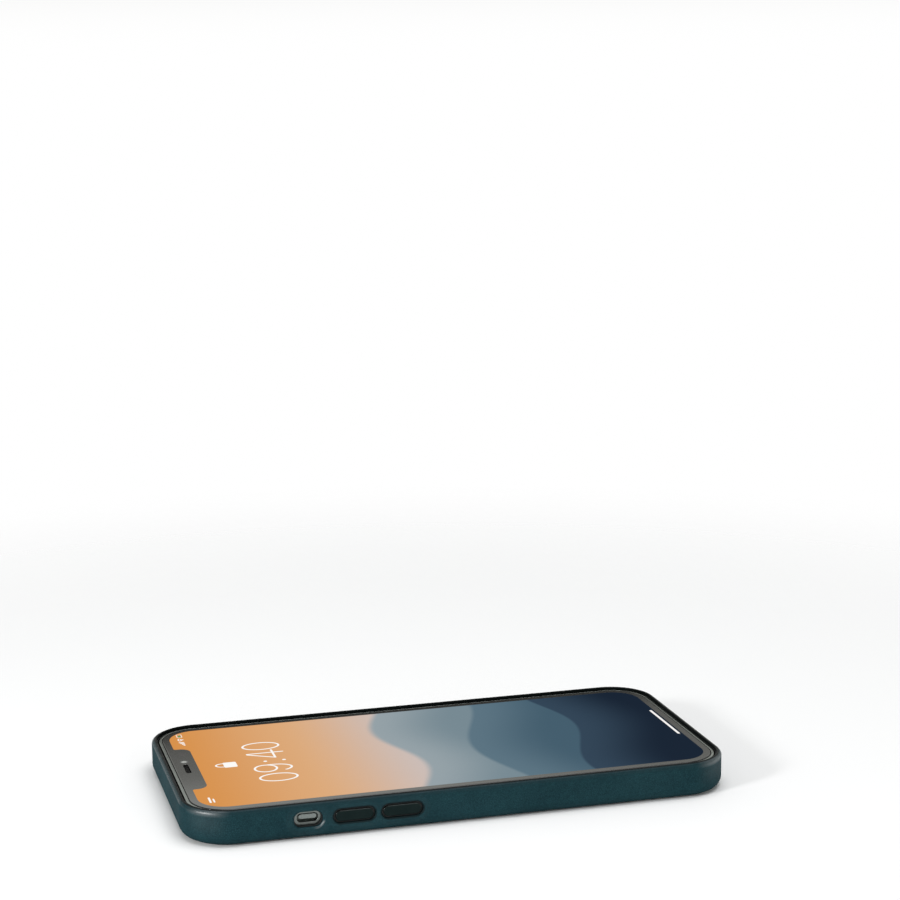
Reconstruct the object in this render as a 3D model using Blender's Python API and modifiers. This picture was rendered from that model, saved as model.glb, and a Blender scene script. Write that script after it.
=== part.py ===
"""Smartphone in a leather case, lying on its back: screen up (+Z), top edge at +Y.

Every dimension is in millimetres in the constants and is turned into metres by MM.
The origin is at the centre of the footprint, on the surface that the case rests on.
The phone sits in the case; the case carries its own button caps; everything inside
the phone is a separate piece in its own object.
"""

from math import cos, pi, radians, sin

import bmesh
import bpy
from mathutils import Matrix

MM = 0.001

# ---------------------------------------------------------------- dimensions
PHONE_HALF_W = 35.75  # phone body 71.5 x 146.7 x 7.4
PHONE_HALF_L = 73.35
PHONE_CORNER = 11.2
CASE_WALL = 1.8  # from the phone's side to the outside of the leather
CASE_TOP = 9.6  # lip round the screen
CASE_BOTTOM_ROUND = 2.8
CASE_TOP_ROUND = 0.9
LEATHER = 0.8
LIP_GAP = 0.42  # between the phone's side and the lip's inner edge
SHELL_OUT = 0.9  # stiff shell under the leather, measured from the phone's side
SHELL_IN = 0.25
FRAME_BOTTOM = 1.8
FRAME_TOP = 9.0
GLASS_TOP = 9.1
REAR_FACE = 1.7
FRAME_WALL = 2.2
GLASS_INSET = 1.1
MID_Z = 5.2  # height of the buttons, the switch, the tray and the port

VOLUME_UP_Y = 31.3
VOLUME_DOWN_Y = 18.5
MUTE_Y = 43.5
POWER_Y = 24.0
SIM_Y = -14.0
BUTTON_H = 2.4
VOLUME_LEN = 10.4
POWER_LEN = 16.8
BUTTON_PROUD = 0.3
BUTTON_TRAVEL = 0.3
CAP_RECESS = 0.15  # how far a case key sits below the leather
CAP_PLATE = 0.4
CAP_H = 2.9
CAP_VOLUME_LEN = 10.2
CAP_POWER_LEN = 16.6
MUTE_TRAVEL = 0.8

CAMERA_X, CAMERA_Y = 24.0, 50.0
PLATEAU_W, PLATEAU_L = 15.6, 35.0
LENS_Y = (60.0, 46.6)
FLASH_Y = 36.8
SPEAKER_X = [13.0 + 2.6 * k for k in range(6)]
MIC_X = [-13.0 - 2.6 * k for k in range(3)]
SCREW_X = 7.6
BREAK_Y = 58.0
CORNER_STEPS = 8

# ---------------------------------------------------------------- clean scene
for old in list(bpy.data.objects):
    bpy.data.objects.remove(old, do_unlink=True)

PARTS = bpy.data.collections.new("smartphone")
CUTTERS = bpy.data.collections.new("cutters")
bpy.context.scene.collection.children.link(PARTS)
bpy.context.scene.collection.children.link(CUTTERS)


def material(name, colour, roughness, metallic=0.0):
    made = bpy.data.materials.new(name)
    made.use_nodes = True
    shader = made.node_tree.nodes["Principled BSDF"]
    shader.inputs["Base Color"].default_value = (*colour, 1.0)
    shader.inputs["Roughness"].default_value = roughness
    shader.inputs["Metallic"].default_value = metallic
    return made


LEATHER_TEAL = material("leather_teal", (0.022, 0.060, 0.075), 0.55)
SHELL_PLASTIC = material("shell_plastic", (0.030, 0.050, 0.055), 0.5)
MICROFIBRE = material("microfibre", (0.040, 0.090, 0.100), 0.95)
SILVER = material("silver_metal", (0.62, 0.63, 0.62), 0.28, 1.0)
DARK_METAL = material("dark_metal", (0.035, 0.045, 0.047), 0.3, 1.0)
BLACK_GLASS = material("black_glass", (0.012, 0.012, 0.013), 0.06)
REAR_GLASS = material("rear_glass", (0.05, 0.06, 0.065), 0.3)
DISPLAY = material("display", (0.55, 0.55, 0.60), 0.15)
BLACK_PLASTIC = material("black_plastic", (0.02, 0.02, 0.02), 0.5)
GREY_PLASTIC = material("grey_plastic", (0.33, 0.34, 0.34), 0.5)
BOARD_GREEN = material("board", (0.012, 0.045, 0.030), 0.45)
STEEL = material("steel", (0.55, 0.55, 0.55), 0.35, 1.0)
ALUMINIUM = material("aluminium", (0.60, 0.60, 0.60), 0.4, 1.0)
COPPER = material("copper", (0.60, 0.28, 0.14), 0.35, 1.0)
FERRITE = material("ferrite", (0.05, 0.05, 0.055), 0.7)
MAGNET = material("magnet", (0.40, 0.40, 0.41), 0.3, 1.0)
BATTERY_FILM = material("battery_film", (0.025, 0.025, 0.027), 0.4)
LENS = material("lens_glass", (0.02, 0.02, 0.03), 0.03)
FLASH = material("flash_lens", (0.80, 0.76, 0.60), 0.2)
FLEX = material("flex_circuit", (0.22, 0.10, 0.03), 0.4)
SEAL = material("seal", (0.02, 0.02, 0.02), 0.8)
TUNGSTEN = material("tungsten", (0.30, 0.30, 0.29), 0.4, 1.0)


# ---------------------------------------------------------------- outlines, in mm
def rounded(half_u, half_v, radius, steps=CORNER_STEPS, at=(0.0, 0.0)):
    """A rounded rectangle, anticlockwise."""
    points = []
    for quarter, (su, sv) in enumerate(((1, 1), (-1, 1), (-1, -1), (1, -1))):
        for k in range(steps + 1):
            a = (quarter + k / steps) * pi / 2
            points.append(
                (
                    at[0] + su * (half_u - radius) + radius * cos(a),
                    at[1] + sv * (half_v - radius) + radius * sin(a),
                )
            )
    return points


def phone_outline(grow):
    """The phone's outline, moved outwards by grow."""
    return rounded(PHONE_HALF_W + grow, PHONE_HALF_L + grow, PHONE_CORNER + grow)


def stadium(length, height, steps=6, at=(0.0, 0.0)):
    """A slot with half-round ends, long way along the first axis."""
    r = height / 2
    half = length / 2 - r
    points = []
    for k in range(steps + 1):
        a = -pi / 2 + pi * k / steps
        points.append((at[0] + half + r * cos(a), at[1] + r * sin(a)))
    for k in range(steps + 1):
        a = pi / 2 + pi * k / steps
        points.append((at[0] - half + r * cos(a), at[1] + r * sin(a)))
    return points


def pill(width, length, grow=0.0, steps=10):
    """An upright slot with half-round ends, centred on its own origin."""
    return [(-v, u) for u, v in stadium(length + 2 * grow, width + 2 * grow, steps)]


def circle(radius, count=32, at=(0.0, 0.0)):
    return [
        (
            at[0] + radius * cos(2 * pi * k / count),
            at[1] + radius * sin(2 * pi * k / count),
        )
        for k in range(count)
    ]


def box_outline(half_u, half_v):
    return [
        (half_u, half_v),
        (-half_u, half_v),
        (-half_u, -half_v),
        (half_u, -half_v),
    ]


# ---------------------------------------------------------------- solids
TURN = {
    "Z": (0.0, 0.0, 0.0),
    "X": (radians(90), 0.0, radians(90)),  # outline in (y, z)
    "Y": (radians(90), 0.0, 0.0),  # outline in (x, z)
}


def empty(name, at=(0.0, 0.0, 0.0), parent=None):
    made = bpy.data.objects.new(name, None)
    made.location = [c * MM for c in at]
    PARTS.objects.link(made)
    made.parent = parent
    return made


CASE = empty("case_origin")
PHONE = empty("phone_origin")


def slab_mesh(name, loops, thickness):
    """A flat outline, with holes if it has more loops, made solid: centred on its own plane."""
    curve = bpy.data.curves.new(name + "_outline", "CURVE")
    curve.dimensions = "2D"
    curve.fill_mode = "BOTH"
    curve.extrude = thickness / 2 * MM
    for points in loops:
        spline = curve.splines.new("POLY")
        spline.points.add(len(points) - 1)
        for point, (u, v) in zip(spline.points, points):
            point.co = (u * MM, v * MM, 0.0, 1.0)
        spline.use_cyclic_u = True
    guide = bpy.data.objects.new(name + "_guide", curve)
    PARTS.objects.link(guide)
    bpy.context.view_layer.update()
    graph = bpy.context.evaluated_depsgraph_get()
    mesh = bpy.data.meshes.new_from_object(guide.evaluated_get(graph))
    bpy.data.objects.remove(guide, do_unlink=True)
    bpy.data.curves.remove(curve)
    work = bmesh.new()
    work.from_mesh(mesh)
    bmesh.ops.remove_doubles(work, verts=work.verts, dist=1e-6)
    if len(loops) == 1:
        bmesh.ops.dissolve_limit(
            work, angle_limit=radians(0.5), verts=work.verts, edges=work.edges
        )
    bmesh.ops.recalc_face_normals(work, faces=work.faces)
    work.to_mesh(mesh)
    work.free()
    mesh.name = name
    return mesh


def place(name, mesh, axis, centre, mat, parent, smooth=None):
    made = bpy.data.objects.new(name, mesh)
    PARTS.objects.link(made)
    made.rotation_euler = TURN[axis]
    made.location = [c * MM for c in centre]
    made.parent = parent
    if mat is not None:
        mesh.materials.clear()
        mesh.materials.append(mat)
    if smooth is not None:
        mesh.shade_smooth()
        mesh.set_sharp_from_angle(angle=radians(smooth))
    return made


def slab(name, loops, axis, centre, low, high, mat, parent=PHONE, smooth=30):
    """A solid between two planes across axis. centre gives the outline's place on the other two."""
    mid = (low + high) / 2
    at = {
        "Z": (centre[0], centre[1], mid),
        "X": (mid, centre[0], centre[1]),
        "Y": (centre[0], mid, centre[1]),
    }[axis]
    return place(
        name, slab_mesh(name, loops, high - low), axis, at, mat, parent, smooth
    )


def block(name, x, y, z, mat, parent=PHONE, edge=0.0):
    """A box from its three ranges, its edges rounded by a bevel."""
    mesh = bpy.data.meshes.new(name)
    work = bmesh.new()
    bmesh.ops.create_cube(work, size=1.0)
    bmesh.ops.scale(
        work,
        vec=((x[1] - x[0]) * MM, (y[1] - y[0]) * MM, (z[1] - z[0]) * MM),
        verts=work.verts,
    )
    work.to_mesh(mesh)
    work.free()
    made = place(
        name,
        mesh,
        "Z",
        ((x[0] + x[1]) / 2, (y[0] + y[1]) / 2, (z[0] + z[1]) / 2),
        mat,
        parent,
    )
    if edge:
        bevel = made.modifiers.new("edges", "BEVEL")
        bevel.width = edge * MM
        bevel.segments = 1
    return made


def disc(name, radius, low, high, at, mat, parent=PHONE, count=32, axis="Z"):
    """A round plug or pin, from Blender's own cone with both ends closed."""
    mesh = bpy.data.meshes.new(name)
    work = bmesh.new()
    bmesh.ops.create_cone(
        work,
        cap_ends=True,
        segments=count,
        radius1=radius * MM,
        radius2=radius * MM,
        depth=(high - low) * MM,
    )
    work.to_mesh(mesh)
    work.free()
    mid = (low + high) / 2
    centre = {"Z": (at[0], at[1], mid), "Y": (at[0], mid, at[1])}[axis]
    return place(name, mesh, axis, centre, mat, parent, 30)


def round_rims(obj, width, segments, bottom=1.0, top=0.0):
    """Rounds the rims of a slab: bottom and top are shares of width, along its own axis."""
    mesh = obj.data
    weights = mesh.attributes.new("bevel_weight_edge", "FLOAT", "EDGE")
    height = max(v.co.z for v in mesh.vertices)
    for edge in mesh.edges:
        z = [mesh.vertices[i].co.z for i in edge.vertices]
        if min(z) > 0.999 * height:
            weights.data[edge.index].value = top
        elif max(z) < -0.999 * height:
            weights.data[edge.index].value = bottom
    bevel = obj.modifiers.new("rims", "BEVEL")
    bevel.limit_method = "WEIGHT"
    bevel.width = width * MM
    bevel.segments = segments
    bevel.use_clamp_overlap = False
    return obj


def as_cutter(obj):
    PARTS.objects.unlink(obj)
    CUTTERS.objects.link(obj)
    obj.hide_render = True
    obj.display_type = "WIRE"
    return obj


def group(name, pieces):
    """Several helper shapes that don't touch, as one cutter."""
    bpy.context.view_layer.update()
    work = bmesh.new()
    for piece in pieces:
        copy = piece.data.copy()
        copy.transform(piece.matrix_world)
        work.from_mesh(copy)
        bpy.data.meshes.remove(copy)
        bpy.data.objects.remove(piece, do_unlink=True)
    mesh = bpy.data.meshes.new(name)
    work.to_mesh(mesh)
    work.free()
    return as_cutter(place(name, mesh, "Z", (0, 0, 0), None, None))


def combine(obj, other, operation="DIFFERENCE"):
    step = obj.modifiers.new(other.name, "BOOLEAN")
    step.operation = operation
    step.solver = "EXACT"
    step.object = other
    return obj


def rim_cutter(name, grow, low, high, width=0.0):
    """A cavity that follows the phone's outline, with its lower edge rounded."""
    made = slab(name, [phone_outline(grow)], "Z", (0, 0), low, high, None, None)
    if width:
        round_rims(made, width, 3)
    return as_cutter(made)


# ================================================================ the case
camera_hole = pill(PLATEAU_W, PLATEAU_L, 1.2)
X_LEFT = -(PHONE_HALF_W + CASE_WALL)


def side_windows(name, tall, long_volume, long_power, extra):
    """Cutters for the openings in a case layer: two volume keys, the power key, the switch, the camera, the port and the sound holes."""
    made = [
        slab("w1", [stadium(long_volume, tall)], "X", (VOLUME_UP_Y, MID_Z), -40, -35.9, None, None),
        slab("w2", [stadium(long_volume, tall)], "X", (VOLUME_DOWN_Y, MID_Z), -40, -35.9, None, None),
        slab("w3", [stadium(long_power, tall)], "X", (POWER_Y, MID_Z), 35.9, 40, None, None),
        slab("w4", [stadium(7.6, 4.1)], "X", (MUTE_Y, MID_Z), -40, -35.9, None, None),
        slab("w5", [camera_hole], "Z", (CAMERA_X, CAMERA_Y), -1, 1.8, None, None),
        slab("w6", [stadium(13.0, 6.0, 8)], "Y", (0, MID_Z), -77, -73.4, None, None),
    ]
    for k, x in enumerate(SPEAKER_X + MIC_X):
        made.append(
            disc(f"h{k}", 0.85, -77, -73.4, (x, MID_Z), None, None, 10, "Y")
        )
    return group(name, made + extra)


# leather skin: floor, walls and the lip that folds over the stiff shell
leather = slab(
    "case_leather", [phone_outline(CASE_WALL)], "Z", (0, 0), 0, CASE_TOP, LEATHER_TEAL, CASE
)
round_rims(leather, CASE_BOTTOM_ROUND, 4, 1.0, CASE_TOP_ROUND / CASE_BOTTOM_ROUND)
combine(
    leather,
    rim_cutter("leather_inside", CASE_WALL - LEATHER, 0.5, 8.75, 2.0),
)
combine(leather, rim_cutter("lip_opening", LIP_GAP, 8.0, 11.0))
combine(
    leather,
    side_windows("leather_windows", CAP_H + 0.3, CAP_VOLUME_LEN + 0.3, CAP_POWER_LEN + 0.3, []),
)

# stiff shell inside the leather, with pockets for the magnets and relief for the phone's own keys
shell = slab(
    "case_shell", [phone_outline(SHELL_OUT)], "Z", (0, 0), 0.6, 8.65, SHELL_PLASTIC, CASE
)
round_rims(shell, 1.9, 3)
combine(shell, rim_cutter("shell_inside", SHELL_IN, 1.35, 11.0, 1.0))
combine(
    shell,
    side_windows("shell_windows", 2.3, 8.3, 13.3, []),
)
combine(
    shell,
    group(
        "shell_pockets",
        [
            slab("p1", [circle(27.8, 48), circle(22.8, 48)], "Z", (0, 0), 0.85, 1.6, None, None),
            slab("p2", [rounded(2.7, 5.2, 0.8, 2)], "Z", (0, -38.0), 0.85, 1.6, None, None),
        ],
    ),
)
combine(
    shell,
    group(
        "key_relief",
        [
            block("r1", (-36.25, -35.5), (12.9, 36.9), (3.6, 10.0), None, None),
            block("r2", (35.5, 36.25), (15.2, 32.8), (3.6, 10.0), None, None),
        ],
    ),
)

lining_hole = [(CAMERA_X + u, CAMERA_Y + v) for u, v in camera_hole]
slab("case_lining", [phone_outline(-0.85), lining_hole], "Z", (0, 0), 1.45, 1.6, MICROFIBRE, CASE)
slab("case_magnet_ring", [circle(27.6, 48), circle(23.0, 48)], "Z", (0, 0), 0.95, 1.32, MAGNET, CASE)
slab("case_align_magnet", [rounded(2.5, 5.0, 0.7, 2)], "Z", (0, -38.0), 0.95, 1.32, MAGNET, CASE)
slab(
    "case_camera_trim",
    [pill(PLATEAU_W, PLATEAU_L, 1.1), pill(PLATEAU_W, PLATEAU_L, 0.5)],
    "Z",
    (CAMERA_X, CAMERA_Y),
    0.15,
    1.35,
    DARK_METAL,
    CASE,
)


def case_cap(name, y, side, length, nub):
    """A metal key set in the case's wall: a pill outside, and a nub through the shell that pushes the phone's key."""
    outer = side * (PHONE_HALF_W + CASE_WALL - CAP_RECESS)
    step = outer - side * CAP_PLATE
    inner = side * (PHONE_HALF_W + BUTTON_PROUD + 0.15)
    origin = empty(name + "_slide", (outer, y, MID_Z), CASE)
    cap = slab(name, [stadium(length, CAP_H)], "X", (0, 0), *sorted((0.0, step - outer)), DARK_METAL, origin)
    tail = slab(
        name + "_nub",
        [stadium(nub, 2.0)],
        "X",
        (0, 0),
        *sorted((step - outer + side * 0.2, inner - outer)),
        None,
        origin,
    )
    return combine(cap, as_cutter(tail), "UNION")


case_cap("case_volume_up_cap", VOLUME_UP_Y, -1, CAP_VOLUME_LEN, 8.0)
case_cap("case_volume_down_cap", VOLUME_DOWN_Y, -1, CAP_VOLUME_LEN, 8.0)
case_cap("case_power_cap", POWER_Y, 1, CAP_POWER_LEN, 13.0)

# ================================================================ the phone's structure
frame = slab("mid_frame", [phone_outline(0)], "Z", (0, 0), FRAME_BOTTOM, FRAME_TOP, SILVER)
round_rims(frame, 0.45, 2, 1.0, 1.0)
combine(frame, rim_cutter("frame_inside", -FRAME_WALL, -1.0, 12.0))
combine(frame, rim_cutter("frame_front_seat", -1.0, 8.0, 12.0))
combine(frame, rim_cutter("frame_rear_seat", -1.0, -1.0, 2.4))
frame_cuts = [
    slab("f1", [stadium(VOLUME_LEN + 0.2, BUTTON_H + 0.2)], "X", (VOLUME_UP_Y, MID_Z), -40, -32, None, None),
    slab("f2", [stadium(VOLUME_LEN + 0.2, BUTTON_H + 0.2)], "X", (VOLUME_DOWN_Y, MID_Z), -40, -32, None, None),
    slab("f3", [stadium(POWER_LEN + 0.2, BUTTON_H + 0.2)], "X", (POWER_Y, MID_Z), 32, 40, None, None),
    slab("f4", [rounded(2.85, 1.3, 1.0, 4)], "X", (MUTE_Y, MID_Z), -40, -32, None, None),
    slab("f5", [stadium(14.6, 2.4)], "X", (SIM_Y, MID_Z), -40, -32, None, None),
    slab("f6", [stadium(9.1, 3.3, 8)], "Y", (0, MID_Z), -78, -70, None, None),
]
for k, x in enumerate(SPEAKER_X + MIC_X):
    frame_cuts.append(disc(f"s{k}", 0.7, -78, -70, (x, MID_Z), None, None, 10, "Y"))
for k, x in enumerate((-SCREW_X, SCREW_X)):
    frame_cuts.append(disc(f"n{k}", 0.95, -78, -70, (x, MID_Z), None, None, 12, "Y"))
for k, (sx, sy) in enumerate(((1, 1), (-1, 1), (-1, -1), (1, -1))):
    x = sorted((sx * 35.15, sx * 37.0))
    frame_cuts.append(
        block(f"g{k}", x, (sy * BREAK_Y - 0.7, sy * BREAK_Y + 0.7), (2.3, 8.5), None, None)
    )
combine(frame, group("frame_cuts", frame_cuts))

for tag, sx, sy in (
    ("right_top", 1, 1),
    ("left_top", -1, 1),
    ("left_bottom", -1, -1),
    ("right_bottom", 1, -1),
):
    block(
        "antenna_break_" + tag,
        sorted((sx * 35.25, sx * 35.73)),
        (sy * BREAK_Y - 0.6, sy * BREAK_Y + 0.6),
        (2.4, 8.4),
        GREY_PLASTIC,
    )

plateau_gap = [(CAMERA_X + u, CAMERA_Y + v) for u, v in pill(PLATEAU_W, PLATEAU_L, 0.15)]
rear = slab("rear_glass", [phone_outline(-GLASS_INSET), plateau_gap], "Z", (0, 0), REAR_FACE, 2.3, REAR_GLASS)
slab(
    "mid_plate",
    [phone_outline(-2.4), circle(29.0, 48), rounded(7.0, 13.8, 1.5, 3, (CAMERA_X, 53.4))],
    "Z",
    (0, 0),
    2.9,
    3.25,
    ALUMINIUM,
)
front = slab("front_glass", [phone_outline(-GLASS_INSET)], "Z", (0, 0), 8.4, GLASS_TOP, BLACK_GLASS)
round_rims(front, 0.25, 1, 0.0, 1.0)
combine(
    front,
    as_cutter(slab("earpiece_slot", [stadium(6.8, 1.3)], "Z", (0, 69.0), 8.0, 10.0, None, None)),
)
slab("display_gasket", [phone_outline(-1.15), phone_outline(-2.1)], "Z", (0, 0), 8.1, 8.3, SEAL)


def display_outline():
    """The screen's outline with the sensor bay cut from its top edge."""
    half_w, half_l, r, bay, deep, n = 32.6, 70.2, 8.0, 17.2, 4.9, 6
    points = rounded(half_w, half_l, r)
    top_right = points[: CORNER_STEPS + 1]
    rest = points[CORNER_STEPS + 1 :]
    cove = []
    for k in range(n + 1):
        a = -pi / 2 * k / n
        cove.append((bay - 1.5 + 1.5 * cos(a), half_l - deep + 1.5 + 1.5 * sin(a)))
    right = [(bay, half_l)] + cove
    left = [(-u, v) for u, v in reversed(right)]
    return top_right + right + left + rest


slab("display_panel", [display_outline()], "Z", (0, 0), 7.5, 8.3, DISPLAY)
slab("display_backplate", [rounded(31.8, 66.0, 6.0, at=(0, -3.2))], "Z", (0, 0), 7.1, 7.4, STEEL)

# ================================================================ keys, switch and card tray


def phone_key(name, y, side, length):
    """A key in the frame's wall, with a flange behind the wall that keeps it in."""
    outer = side * (PHONE_HALF_W + BUTTON_PROUD)
    wall = side * (PHONE_HALF_W - FRAME_WALL)
    origin = empty(name + "_slide", (outer, y, MID_Z), PHONE)
    key = slab(
        name,
        [stadium(length, BUTTON_H)],
        "X",
        (0, 0),
        *sorted((0.0, wall - outer - side * 0.4)),
        SILVER,
        origin,
    )
    flange = slab(
        name + "_flange",
        [rounded(length / 2 + 0.7, BUTTON_H / 2 + 0.6, 0.5, 2)],
        "X",
        (0, 0),
        *sorted((wall - outer - side * 0.15, wall - outer - side * 0.65)),
        None,
        origin,
    )
    return combine(key, as_cutter(flange), "UNION")


phone_key("volume_up_button", VOLUME_UP_Y, -1, VOLUME_LEN)
phone_key("volume_down_button", VOLUME_DOWN_Y, -1, VOLUME_LEN)
phone_key("side_button", POWER_Y, 1, POWER_LEN)
block("volume_flex", (-32.45, -32.0), (11.5, 38.3), (3.8, 6.6), FLEX)
block("power_flex", (32.0, 32.45), (13.0, 35.0), (3.8, 6.6), FLEX)

switch_origin = empty("mute_switch_slide", (-35.87, MUTE_Y, MID_Z + 0.4), PHONE)
switch = slab("mute_switch", [stadium(4.9, 1.6)], "X", (0, 0), 0.0, 2.6, SILVER, switch_origin)
combine(
    switch,
    as_cutter(
        slab(
            "mute_flange", [rounded(3.4, 1.5, 0.4, 2)], "X", (0, 0), 2.47, 2.87, None, switch_origin
        )
    ),
    "UNION",
)
block("mute_switch_body", (-32.8, -31.7), (40.2, 46.8), (3.4, 7.0), BLACK_PLASTIC)

tray = slab("sim_tray", [stadium(14.4, 2.2)], "X", (SIM_Y, MID_Z), -35.73, -34.8, SILVER)
tongue = block("tray_tongue", (-35.2, -21.5), (SIM_Y - 6.3, SIM_Y + 6.3), (5.2, 6.0), None, None)
combine(tray, as_cutter(tongue), "UNION")
reader = block("sim_reader", (-32.6, -20.5), (SIM_Y - 7.2, SIM_Y + 7.2), (4.95, 6.55), STEEL)
combine(
    reader,
    as_cutter(block("reader_slot", (-34.0, -21.2), (SIM_Y - 6.7, SIM_Y + 6.7), (5.1, 6.3), None, None)),
)

# ================================================================ rear camera
plateau = slab(
    "camera_plateau", [pill(PLATEAU_W, PLATEAU_L)], "Z", (CAMERA_X, CAMERA_Y), 0.8, 2.3, REAR_GLASS
)
round_rims(plateau, 0.35, 2)
combine(
    plateau,
    group(
        "plateau_holes",
        [
            disc("c1", 5.9, 0, 4, (CAMERA_X, LENS_Y[0]), None, None),
            disc("c2", 5.9, 0, 4, (CAMERA_X, LENS_Y[1]), None, None),
            disc("c3", 2.1, 0, 4, (CAMERA_X, FLASH_Y), None, None, 20),
        ],
    ),
)
housing = block("rear_camera_housing", (17.6, 30.4), (40.2, 66.4), (2.5, 6.9), STEEL, edge=0.3)
combine(
    housing,
    group(
        "camera_bores",
        [
            disc("b1", 4.5, 2.0, 6.2, (CAMERA_X, LENS_Y[0]), None, None),
            disc("b2", 4.5, 2.0, 6.2, (CAMERA_X, LENS_Y[1]), None, None),
        ],
    ),
)
for tag, y in (("wide", LENS_Y[0]), ("ultrawide", LENS_Y[1])):
    slab(
        "lens_ring_" + tag,
        [circle(5.75), circle(4.7)],
        "Z",
        (CAMERA_X, y),
        0.35,
        2.3,
        SILVER,
    )
    disc("lens_glass_" + tag, 4.55, 0.6, 1.2, (CAMERA_X, y), LENS)
    focus = empty("focus_slide_" + tag, (CAMERA_X, y, 4.1), PHONE)
    disc("lens_barrel_" + tag, 4.1, -1.45, 1.45, (0, 0), BLACK_PLASTIC, focus)
disc("flash_led", 1.95, 0.75, 1.9, (CAMERA_X, FLASH_Y), FLASH, count=20)

# ================================================================ inside the phone
block("battery", (-9.5, 31.0), (-50.0, 31.0), (3.4, 6.9), BATTERY_FILM, edge=0.7)
slab(
    "logic_board",
    [
        [
            (-31.4, -50.0),
            (-10.5, -50.0),
            (-10.5, 40.0),
            (16.6, 40.0),
            (16.6, 64.8),
            (-26.0, 64.8),
            (-31.4, 60.0),
        ]
    ],
    "Z",
    (0, 0),
    4.0,
    4.8,
    BOARD_GREEN,
)
block("processor_shield", (-29.8, -12.0), (-3.0, 37.0), (4.9, 6.7), STEEL, edge=0.3)
block("radio_shield", (-29.8, -12.0), (-48.5, -24.5), (4.9, 6.7), STEEL, edge=0.3)
slab("charging_coil", [circle(20.5, 40), circle(6.0, 40)], "Z", (0, 0), 2.4, 2.8, COPPER)
disc("ferrite_sheet", 21.0, 2.9, 3.2, (0, 0), FERRITE, count=40)
slab("magnet_ring", [circle(27.6, 48), circle(23.0, 48)], "Z", (0, 0), 2.4, 3.1, MAGNET)
slab("align_magnet", [rounded(2.5, 5.0, 0.7, 2)], "Z", (0, -38.0), 2.4, 2.8, MAGNET)

block("earpiece_speaker", (-4.3, 4.3), (65.4, 70.9), (5.0, 7.9), BLACK_PLASTIC, edge=0.3)
slab("earpiece_mesh", [stadium(6.5, 1.0)], "Z", (0, 69.0), 8.45, 8.95, DARK_METAL)
front_cam = block("front_camera", (5.0, 10.0), (65.7, 70.7), (5.0, 7.4), BLACK_PLASTIC)
combine(
    front_cam,
    as_cutter(disc("front_barrel", 1.9, 7.0, 8.2, (7.5, 68.2), None, None, 24)),
    "UNION",
)
block("infrared_camera", (-16.2, -9.6), (65.7, 70.6), (5.0, 8.2), BLACK_PLASTIC, edge=0.3)
block("face_projector", (11.4, 16.4), (65.7, 70.6), (5.0, 8.2), STEEL, edge=0.3)

block("speaker_module", (9.6, 29.2), (-69.0, -52.5), (3.5, 6.9), BLACK_PLASTIC, edge=0.5)
haptic = block("haptic_housing", (-31.0, -10.6), (-63.5, -53.5), (3.5, 6.5), STEEL)
combine(
    haptic,
    as_cutter(block("haptic_room", (-30.6, -11.0), (-63.1, -53.9), (3.9, 8.0), None, None)),
)
haptic_origin = empty("haptic_slide", (-20.8, -58.5, 5.2), PHONE)
block("haptic_mass", (-8.6, 8.6), (-4.2, 4.2), (-1.1, 1.1), TUNGSTEN, haptic_origin, edge=0.3)
block("haptic_cover", (-31.0, -10.6), (-63.5, -53.5), (6.6, 6.9), STEEL)

port = slab("charging_port", [stadium(8.9, 3.1, 8)], "Y", (0, MID_Z), -73.25, -65.8, STEEL)
combine(
    port,
    as_cutter(slab("port_mouth", [stadium(8.3, 2.5, 8)], "Y", (0, MID_Z), -76.0, -66.2, None, None)),
)
block("port_tongue", (-3.35, 3.35), (-71.8, -66.3), (4.85, 5.55), BLACK_PLASTIC)
block("dock_flex", (-9.5, 9.0), (-65.5, -51.0), (3.45, 3.65), FLEX)
for tag, x in (("left", -SCREW_X), ("right", SCREW_X)):
    screw = disc("bottom_screw_" + tag, 0.8, -73.3, -69.8, (x, MID_Z), STEEL, PHONE, 12, "Y")
    combine(
        screw,
        as_cutter(disc("screw_socket_" + tag, 0.42, -75.0, -72.8, (x, MID_Z), None, None, 6, "Y")),
    )
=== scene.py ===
"""Looks of the smartphone in its leather case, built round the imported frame."""

from math import atan2, ceil, cos, pi, radians, sin, sqrt, tan

import bmesh
import bpy
import numpy as np
from mathutils import Matrix, Vector


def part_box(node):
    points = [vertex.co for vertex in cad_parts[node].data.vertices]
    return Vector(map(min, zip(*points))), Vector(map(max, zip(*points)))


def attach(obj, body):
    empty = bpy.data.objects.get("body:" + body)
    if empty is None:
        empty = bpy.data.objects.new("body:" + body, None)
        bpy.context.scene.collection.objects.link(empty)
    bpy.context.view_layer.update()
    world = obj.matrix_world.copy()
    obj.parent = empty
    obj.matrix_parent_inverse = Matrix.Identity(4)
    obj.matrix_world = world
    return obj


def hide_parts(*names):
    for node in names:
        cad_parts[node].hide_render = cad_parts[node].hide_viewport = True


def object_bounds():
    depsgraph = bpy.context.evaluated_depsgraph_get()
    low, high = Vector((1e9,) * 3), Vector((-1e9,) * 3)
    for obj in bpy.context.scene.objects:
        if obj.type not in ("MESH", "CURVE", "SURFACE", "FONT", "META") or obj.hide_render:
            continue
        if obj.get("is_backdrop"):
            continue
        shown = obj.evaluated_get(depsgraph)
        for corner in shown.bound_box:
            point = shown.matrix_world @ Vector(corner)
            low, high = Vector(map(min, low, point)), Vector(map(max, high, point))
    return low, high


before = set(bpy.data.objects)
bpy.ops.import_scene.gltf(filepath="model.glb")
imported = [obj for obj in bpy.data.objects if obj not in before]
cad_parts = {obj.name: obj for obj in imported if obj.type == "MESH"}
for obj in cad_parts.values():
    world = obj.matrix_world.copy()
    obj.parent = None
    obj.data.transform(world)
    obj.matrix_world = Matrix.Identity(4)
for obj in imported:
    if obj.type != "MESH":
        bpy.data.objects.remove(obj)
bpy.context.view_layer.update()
MM = 0.001

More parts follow.
